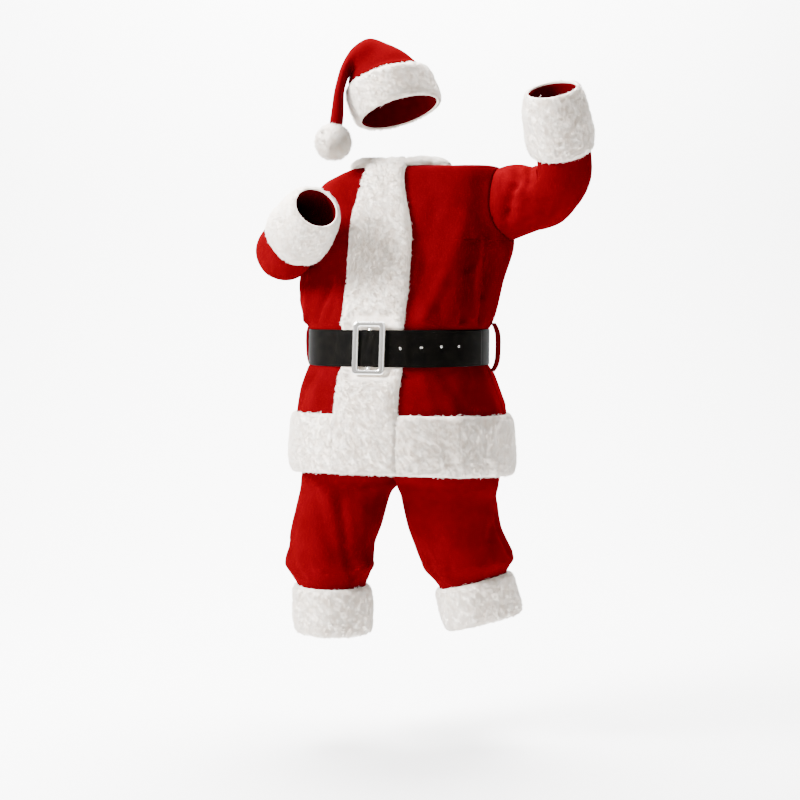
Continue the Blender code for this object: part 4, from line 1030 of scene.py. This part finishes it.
def dress_jacket_fur():
    return {
        "hem": fur_strip("hem_fur", jacket, beside_placket, all_round(SIDE_LAPS), np.append(0, HEM_ROWS),
                         54000, (0.02, 0.012), seed=2),
        "placket": fur_strip("placket_fur", jacket, on_placket,
                             np.concatenate([-PLACKET_LAPS[:0:-1], PLACKET_LAPS]), PLACKET_ROWS, 40000,
                             (0.09, 0.012), face=placket_face, seed=3),
        "collar": fur_strip("collar_fur", jacket, round_collar, all_round(FRONT_LAPS), COLLAR_ROWS, 15000,
                            (0.06, 0.012), depth=COLLAR_PILE, flow=(0, 0, 0), seed=4)}


CUFF_STRANDS = 20000      # of each cuff and of the hat's band


def dress_sleeves():
    turns = np.linspace(0, TURN, 2 * ARMHOLE_ROWS + 1)
    pieces = {}
    for side, name in SIDES:
        surface = sleeve_surface(side)
        start = 1 - CUFF_LENGTH / SLEEVES[side].length
        cuff_rows = edge_spaced(start, 1, 4)
        rows = refine(np.concatenate([np.linspace(0, start, 12)[:-1], cuff_rows]), 0.016)
        pieces["sleeve_" + name] = cloth("sleeve_" + name, surface, same, refine(turns, TUBE_STEP), rows,
                                         everywhere)
        fur_rows = np.append(cuff_rows, 1 + FUR_OVERHANG / SLEEVES[side].length)
        along_cuff = SLEEVES[side].at(np.array([0.8, 1.0]))
        flow = unit(np.array([np.diff(along_cuff[axis])[0] for axis in ("x", "y", "height")]))
        pieces["cuff_" + name] = fur_strip("cuff_fur_" + name, surface, same, turns, fur_rows, CUFF_STRANDS,
                                           (0.12, 0.03), everywhere, flow=-flow, seed=5 + side)
    return pieces


GATHER_DEPTH = 0.0016     # of the gathered cloth behind the waistband's face


def gathers(lap, place, points):
    """The waistband's face, gathered over its elastic."""
    wave = np.sin(lap * 130 + 3 * np.sin(lap * 17))
    return -WAIST_INSET - WAISTBAND_THICK / 2 + WAISTBAND_THICK / 2 * (0.6 + 0.4 * wave)


def gathers_inside(lap, place, points):
    return gathers(lap, place, points) - GATHER_DEPTH


def round_waist(lap, place):
    return body_angle(lap, place), place


def dress_waistband():
    laps = refine(all_round(FRONT_LAPS), 0.02)
    rows = refine(jacket_place(WAIST_HEIGHT + np.array([WAIST_GAP, WAISTBAND_HEIGHT])), 0.004)
    band = shell("waistband_cloth", jacket_smooth, round_waist, laps, rows, gathers_inside, gathers, PLUSH,
                 everywhere)
    return dress(band, "waistband")


def dress_trousers():
    pieces = {"waistband": dress_waistband()}
    for side, name in SIDES:
        bottom, cuff_top, fork = (LEGS[side].size(row, "height") for row in ("bottom", "cuff_top", "crotch"))
        cuff_rows = edge_spaced(bottom, cuff_top, 4)
        rows = np.concatenate([
            cuff_rows, np.linspace(cuff_rows[-1], fork, 10)[1:],
            fork + (CROTCH_TOP - fork) * np.array([0.12, 0.4, 1]), HIP_HEIGHTS, [WAIST_HEIGHT]])
        turns = np.linspace(0, TURN, 17)
        turns = turns if side == LEFT else -turns[::-1]
        surface = leg_surface(side)
        pieces["leg_" + name] = cloth("trouser_leg_" + name, surface, same, refine(turns, LEG_STEP),
                                      refine(rows, CLOTH_STEP),
                                      joined=lambda height, fork=fork: height < fork + 1e-6)
        pieces["cuff_" + name] = fur_strip("trouser_cuff_" + name, surface, same, turns,
                                           np.append(cuff_rows[0] - FUR_OVERHANG, cuff_rows), CUFF_STRANDS,
                                           (0.11, 0.01), everywhere, seed=8 + side)
    return pieces


def dress_hat():
    band_rows = edge_spaced(0, HAT.place["band_top"], 4)
    turns = np.linspace(0, TURN, 21)
    rows = refine(np.concatenate([band_rows, np.linspace(band_rows[-1], 1, 15)[1:]]), 0.013)
    cone = cloth("hat_cone", hat_surface, same, refine(turns, TUBE_STEP), rows, everywhere)
    band = fur_strip("hat_band", hat_surface, same, turns, np.append(-FUR_OVERHANG / HAT.length, band_rows),
                     CUFF_STRANDS, (0.12, 0.015), everywhere, seed=11)
    return {"cone": cone, "band": band, "pompom": dress_pompom()}


def dress_pompom():
    """A ball of pile on the hat's tip."""
    tip = hat_surface(np.array([0.0, math.pi]), np.array([1.0, 1.0])).mean(axis=0)
    centre = tip - np.array([0, 0, POMPOM_CORE - POMPOM_TUCK])
    ball = bmesh.new()
    bmesh.ops.create_icosphere(ball, subdivisions=4, radius=POMPOM_BALL)
    for vert in ball.verts:
        vert.co *= 1 + 0.03 * lumps(np.array([vert.co[:]]), 0.02)[0]
    bmesh.ops.translate(ball, vec=centre, verts=ball.verts[:])
    core = dress(mesh_object("pompom_ball", ball, FUR), "pompom")

    def sphere(turn, rise):
        flat = np.sqrt(np.maximum(1 - rise ** 2, 0))
        return centre + POMPOM_ROOTS * np.stack([flat * np.cos(turn), flat * np.sin(turn), rise], axis=-1)

    pile = strands("pompom_pile", sphere, np.linspace(0, TURN, 40), np.linspace(-0.999, 0.999, 40),
                   10000, POMPOM_PILE, flow=(0, 0, 0), lean=0.6, clump=0.0026, spill=(0, 0), seed=12)
    dress(pile, None)
    return [core, pile]


# ---------------------------------------------------------------- belt

# Degrees from centre front along the belt's tail, and metres above its middle.
EYELETS = [(20.6, 0.0), (33.5, 0.003), (46.1, 0.005), (58.0, 0.005)]
EYELET_RADIUS, EYELET_WIRE = 0.0024, 0.0006
NEAR_BUCKLE = 0.30        # radians each side of centre front where the strap has closer columns
EDGE_DEPTH, EDGE_WIDTH = 0.0007, 0.0012         # how the strap's edges are turned down
STITCH_DEPTH, STITCH_WIDTH = 0.00028, 0.0009    # of the groove that its stitches lie in
STITCH_IN = 0.0055                              # and how far that is from the edge
STRAP_BOTTOM, STRAP_TOP = (jacket_place(BELT_HEIGHT + sign * BELT_WIDTH / 2) for sign in (-1, 1))


def strap_under(angle, place, points):
    """The strap's underside: it climbs over the placket, then over its own first turn."""
    from_centre = np.abs((angle + math.pi) % TURN - math.pi)
    over_placket = fade(from_centre, BELT_PLACKET_ANGLE, 0.10)
    second_turn = ease((angle - TURN + NEAR_BUCKLE) / 0.20)
    over_bar = fade(angle - TURN, 0.05, 0.3)
    return (STRAP_LIFT + (STRAP_OVER_PLACKET - STRAP_LIFT) * over_placket
            + (BELT_THICK + 2 * SEAM + (BUCKLE_BAR_THICK + STRAP_SLACK) * over_bar) * second_turn)


def strap_over(angle, place, points):
    """Its outer face, with turned edges, a stitched groove and creases where it leaves the buckle."""
    share = (place - STRAP_BOTTOM) / (STRAP_TOP - STRAP_BOTTOM)
    edge = np.minimum(share, 1 - share) * BELT_WIDTH
    wave = np.sin(angle * 70 + 2 * np.sin(share * 5)) * np.exp(-((angle - TURN) / 0.16) ** 2)
    creases = 0.00035 * wave + 0.00025 * lumps(points, 0.05)
    turned = (EDGE_DEPTH * np.exp(-edge / EDGE_WIDTH)
              + STITCH_DEPTH * np.exp(-((edge - STITCH_IN) / STITCH_WIDTH) ** 2))
    return strap_under(angle, place, points) + BELT_THICK - turned + np.minimum(creases, 0.0002)


def dress_belt():
    end = TURN + BELT_TAIL_ANGLE
    angles = np.concatenate([np.linspace(BELT_START_ANGLE, TURN - NEAR_BUCKLE, 260)[:-1],
                             np.linspace(TURN - NEAR_BUCKLE, TURN + NEAR_BUCKLE, 90)[:-1],
                             np.linspace(TURN + NEAR_BUCKLE, end, 60)])
    shares = np.array([0, 0.008, 0.02, 0.045, 0.055, 0.063, 0.075, 0.2, 0.35])
    shares = np.concatenate([shares, [0.5], 1 - shares[::-1]])
    rows = STRAP_BOTTOM + (STRAP_TOP - STRAP_BOTTOM) * shares
    strap = shell("belt_strap_vinyl", jacket_smooth, same, angles, rows, strap_under, strap_over, VINYL)
    dress(strap, "belt_strap")


def dress_eyelets():
    for number, (degrees, above) in enumerate(EYELETS, 1):
        a, b = np.array([TURN + math.radians(degrees)]), jacket_place(np.array([BELT_HEIGHT + above]))
        point = jacket_smooth(a, b)
        out = normals(jacket_smooth, a, b)
        spot = point + out * strap_over(a, b, point)[:, None]
        ring = eyelet("belt_eyelet_%d" % number, Vector(spot[0]), Vector(out[0]))
        dress(ring, None)


def eyelet(name, centre, out):
    """A small metal ring lying on the belt."""
    bm = bmesh.new()
    wire = bmesh.ops.create_circle(bm, segments=8, radius=EYELET_WIRE)["verts"]
    bmesh.ops.scale(bm, vec=(1, 0.7, 1), verts=wire)
    bmesh.ops.rotate(bm, cent=(0, 0, 0), matrix=Matrix.Rotation(math.pi / 2, 3, "X"), verts=wire)
    bmesh.ops.translate(bm, vec=(EYELET_RADIUS, 0, 0), verts=wire)
    bmesh.ops.spin(bm, geom=bm.verts[:] + bm.edges[:], cent=(0, 0, 0), axis=(0, 0, 1), angle=TURN,
                   steps=24, use_merge=True)
    bmesh.ops.recalc_face_normals(bm, faces=bm.faces[:])
    turn = Vector((0, 0, 1)).rotation_difference(out).to_matrix().to_4x4()
    bmesh.ops.transform(bm, matrix=Matrix.Translation(centre) @ turn, verts=bm.verts[:])
    return mesh_object(name, bm, NICKEL)


def loop_face(side, half_turn, way):
    """The outer (1) or inner (-1) face of the round tube of cloth that a belt loop is made of."""
    def face(angle, share, points):
        across = (angle - side * LOOP_ANGLE) / half_turn
        half_thick = LOOP_THICK / 2 * np.sqrt(np.clip(1 - across ** 2, 0.02, 1))
        return (loop_under(share) + LOOP_THICK / 2 + way * (half_thick + 0.0008)
                + 0.0002 * lumps(points, 0.012))
    return face


def dress_loops():
    """Each loop is a soft round tube of cloth, sewn to the jacket at its two ends."""
    half_turn = LOOP_WIDTH / 2 / JACKET.at(LOOP_ENDS)["left"].mean()
    for side, name in SIDES:
        turns = side * LOOP_ANGLE + half_turn * np.sin(np.linspace(-math.pi / 2, math.pi / 2, 13))
        inner, outer = (loop_face(side, half_turn, way) for way in (-1, 1))
        loop = shell("belt_loop_%s_cloth" % name, loop_chord, same, turns, np.linspace(0, 1, 41),
                     inner, outer, PLUSH)
        dress(loop, "belt_loop_" + name)


def belt_front():
    """The place of the belt's middle at centre front, leaning back as the jacket does there."""
    edges = jacket_place(BELT_HEIGHT + np.array([-0.5, 0.5]) * BELT_WIDTH)
    bottom, top = jacket_smooth(np.zeros(2), edges)
    lean = math.asin((bottom - top)[1] / np.linalg.norm(top - bottom))
    return Matrix.Translation((bottom + top) / 2) @ Matrix.Rotation(lean, 4, "X")


def corner_path(width, height, corner, count=10):
    """Points round a rectangle with rounded corners, seen from the front."""
    points = []
    for quarter in range(4):
        x = (width / 2 - corner) * (1 if quarter in (0, 3) else -1)
        z = (height / 2 - corner) * (1 if quarter in (0, 1) else -1)
        for t in np.linspace(0, math.pi / 2, count):
            a = quarter * math.pi / 2 + t
            points.append((x + corner * math.cos(a), z + corner * math.sin(a)))
    return np.array(points)


BUCKLE_CORNER, BUCKLE_HOLE_CORNER = 0.010, 0.005
# Across a rail from its outer edge (0) to its inner one (1), and how far up its front it is.
RAIL_PROFILE = [(0, 0.0), (0, 0.55), (0.04, 0.8), (0.12, 0.95), (0.28, 1.0), (0.72, 1.0), (0.88, 0.95),
                (0.96, 0.8), (1, 0.55), (1, 0.0)]
BAR_PAST_STRAP = 0.008    # how much longer the buckle's bar is than the strap is wide
BAR_END_HEIGHT = 0.0535   # of the blocks that join the bar to the frame, from the buckle's middle
BAR_END_LENGTH = 0.012
BAR_ROUND = 0.0006        # how much their edges are rounded


def buckle_block(bm, z, width, height, back, front):
    """A block with rounded edges behind the buckle, from its back face to its front one."""
    block = bmesh.ops.create_cube(bm, size=1)["verts"]
    bmesh.ops.scale(bm, vec=(width, front - back, height), verts=block)
    bmesh.ops.translate(bm, vec=(0, -(front + back) / 2, z), verts=block)
    edges = list({edge for vert in block for edge in vert.link_edges})
    bmesh.ops.bevel(bm, geom=edges, offset=BAR_ROUND, segments=2, profile=0.5, affect="EDGES", material=-1)


def dress_buckle():
    """A polished frame with rounded edges, and the bar behind the strap."""
    bar_back = STRAP_OVER_PLACKET + BELT_THICK + SEAM
    bar_front = bar_back + BUCKLE_BAR_THICK
    frame_back = bar_front + STRAP_SLACK + BELT_THICK + 2 * SEAM
    outer = corner_path(BUCKLE_WIDTH, BUCKLE_HEIGHT, BUCKLE_CORNER)
    inner = corner_path(BUCKLE_WIDTH - 2 * BUCKLE_SIDE, BUCKLE_HEIGHT - 2 * BUCKLE_RAIL, BUCKLE_HOLE_CORNER)
    bm = bmesh.new()
    loops = [[bm.verts.new((x, -(frame_back + BUCKLE_THICK * lift), z))
              for x, z in outer + (inner - outer) * share] for share, lift in RAIL_PROFILE]
    for here, after in zip(loops, loops[1:] + loops[:1]):
        for j in range(len(here)):
            bm.faces.new((here[j - 1], here[j], after[j], after[j - 1]))
    buckle_block(bm, 0, BUCKLE_BAR_WIDTH, BELT_WIDTH + BAR_PAST_STRAP, bar_back, bar_front)
    for z in (BAR_END_HEIGHT, -BAR_END_HEIGHT):
        buckle_block(bm, z, BUCKLE_BAR_WIDTH - 0.001, BAR_END_LENGTH, bar_back + 0.0005, frame_back + 0.001)
    bmesh.ops.recalc_face_normals(bm, faces=bm.faces[:])
    bmesh.ops.transform(bm, matrix=belt_front(), verts=bm.verts[:])
    dress(mesh_object("buckle_frame", bm, NICKEL), "buckle")


# ---------------------------------------------------------------- a few pieces put into lists

def declare_cloth(trims, trousers, hat):
    """Puts the placket's fur, the trousers' fur cuffs and the hat's band into lists, and keeps none of them.
    """
    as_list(trims["placket"])
    for side in ("left", "right"):
        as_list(trousers["cuff_" + side])
    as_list(hat["band"])


# ---------------------------------------------------------------- stage

CAMERA_TURN = math.radians(20)    # from the suit's front towards the wearer's left
CAMERA_DISTANCE = 4.2
CAMERA_HEIGHT = 1.15
RENDER_PIXELS = 800
FOCAL_PIXELS = 1647
HORIZON_PIXELS = 103              # height of the horizon over the middle of the render
SENSOR_WIDTH = 36                 # millimetres

FLOOR_WHITE = (0.90, 0.90, 0.90, 1)
FLOOR_FRONT, FLOOR_BACK, FLOOR_SIDE = -9.0, 2.0, 9.0
FLOOR_CURVE = 1.6                 # radius with which the floor turns up into the wall
WALL_TOP = 7.0

WORLD_COLOUR, WORLD_STRENGTH = (1.0, 0.90, 0.80, 1), 0.33


def backdrop_paint():
    """Pale paint in front, and clear from behind, so that the suit can be seen from every side."""
    made, tree, shader = new_material("floor_paint", Base_Color=FLOOR_WHITE, Roughness=0.9)
    facing = node(tree, "ShaderNodeNewGeometry")
    mix = node(tree, "ShaderNodeMixShader")
    tree.links.new(facing.outputs["Backfacing"], mix.inputs[0])
    tree.links.new(shader.outputs["BSDF"], mix.inputs[1])
    tree.links.new(node(tree, "ShaderNodeBsdfTransparent").outputs["BSDF"], mix.inputs[2])
    tree.links.new(mix.outputs["Shader"], tree.nodes["Material Output"].inputs["Surface"])
    return made


def build_stage():
    """A pale floor that curves up behind the suit."""
    profile = [(FLOOR_FRONT, 0.0), (FLOOR_BACK, 0.0)]
    profile += [(FLOOR_BACK + FLOOR_CURVE * math.sin(t), FLOOR_CURVE - FLOOR_CURVE * math.cos(t))
                for t in np.linspace(0.15, math.pi / 2, 12)]
    profile += [(FLOOR_BACK + FLOOR_CURVE, WALL_TOP)]
    bm = bmesh.new()
    line = [bm.verts.new((-FLOOR_SIDE, y, z - NECK_HEIGHT)) for y, z in profile]
    edges = [bm.edges.new(pair) for pair in zip(line, line[1:])]
    sheet = bmesh.ops.extrude_edge_only(bm, edges=edges)["geom"]
    far = [part for part in sheet if isinstance(part, bmesh.types.BMVert)]
    bmesh.ops.translate(bm, vec=(2 * FLOOR_SIDE, 0, 0), verts=far)
    bm.normal_update()
    if sum(face.normal.z for face in bm.faces) < 0:
        bmesh.ops.reverse_faces(bm, faces=bm.faces[:])
    bmesh.ops.rotate(bm, cent=(0, 0, 0), matrix=Matrix.Rotation(CAMERA_TURN, 3, "Z"), verts=bm.verts[:])
    floor = mesh_object("floor", bm, backdrop_paint())


def area_light(name, place, power, size, target=(0, 0, -0.5)):
    data = bpy.data.lights.new(name, "AREA")
    data.energy, data.size = power, size
    light = in_scene(name, data)
    light.location = place
    light.rotation_euler = (Vector(target) - Vector(place)).to_track_quat("-Z", "Y").to_euler()


def build_camera_and_lights():
    data = bpy.data.cameras.new("camera")
    data.lens, data.sensor_width = FOCAL_PIXELS * SENSOR_WIDTH / RENDER_PIXELS, SENSOR_WIDTH
    camera = in_scene("camera", data)
    forward = Vector((-math.sin(CAMERA_TURN), math.cos(CAMERA_TURN), 0))
    aim = forward - Vector((0, 0, HORIZON_PIXELS / FOCAL_PIXELS))
    camera.location = -forward * CAMERA_DISTANCE + Vector((0, 0, CAMERA_HEIGHT - NECK_HEIGHT))
    camera.rotation_euler = aim.to_track_quat("-Z", "Y").to_euler()
    bpy.context.scene.camera = camera
    right = Vector((math.cos(CAMERA_TURN), math.sin(CAMERA_TURN), 0))

    def seen(across, back, height):
        """A place given as the camera sees it: to its right, away from it and up."""
        return right * across + forward * back + Vector((0, 0, height))

    area_light("key", seen(-3.1, -1.3, 1.5), 820, 1.3)
    area_light("front", seen(-0.9, -4.2, 1.2), 62, 2.6)
    area_light("backdrop", seen(0, 1.2, 3.4), 1900, 3.5, target=seen(0, 3.4, -0.6))
    world = bpy.data.worlds.new("studio")
    world.use_nodes = True
    background = world.node_tree.nodes["Background"]
    background.inputs["Color"].default_value = WORLD_COLOUR
    background.inputs["Strength"].default_value = WORLD_STRENGTH
    bpy.context.scene.world = world


# ---------------------------------------------------------------- all together

build_camera_and_lights()
build_stage()
panels = dress_jacket()
trims = dress_jacket_fur()
sleeves = dress_sleeves()
trousers = dress_trousers()
hat = dress_hat()
dress_belt()
dress_eyelets()
dress_loops()
dress_buckle()
declare_cloth(trims, trousers, hat)
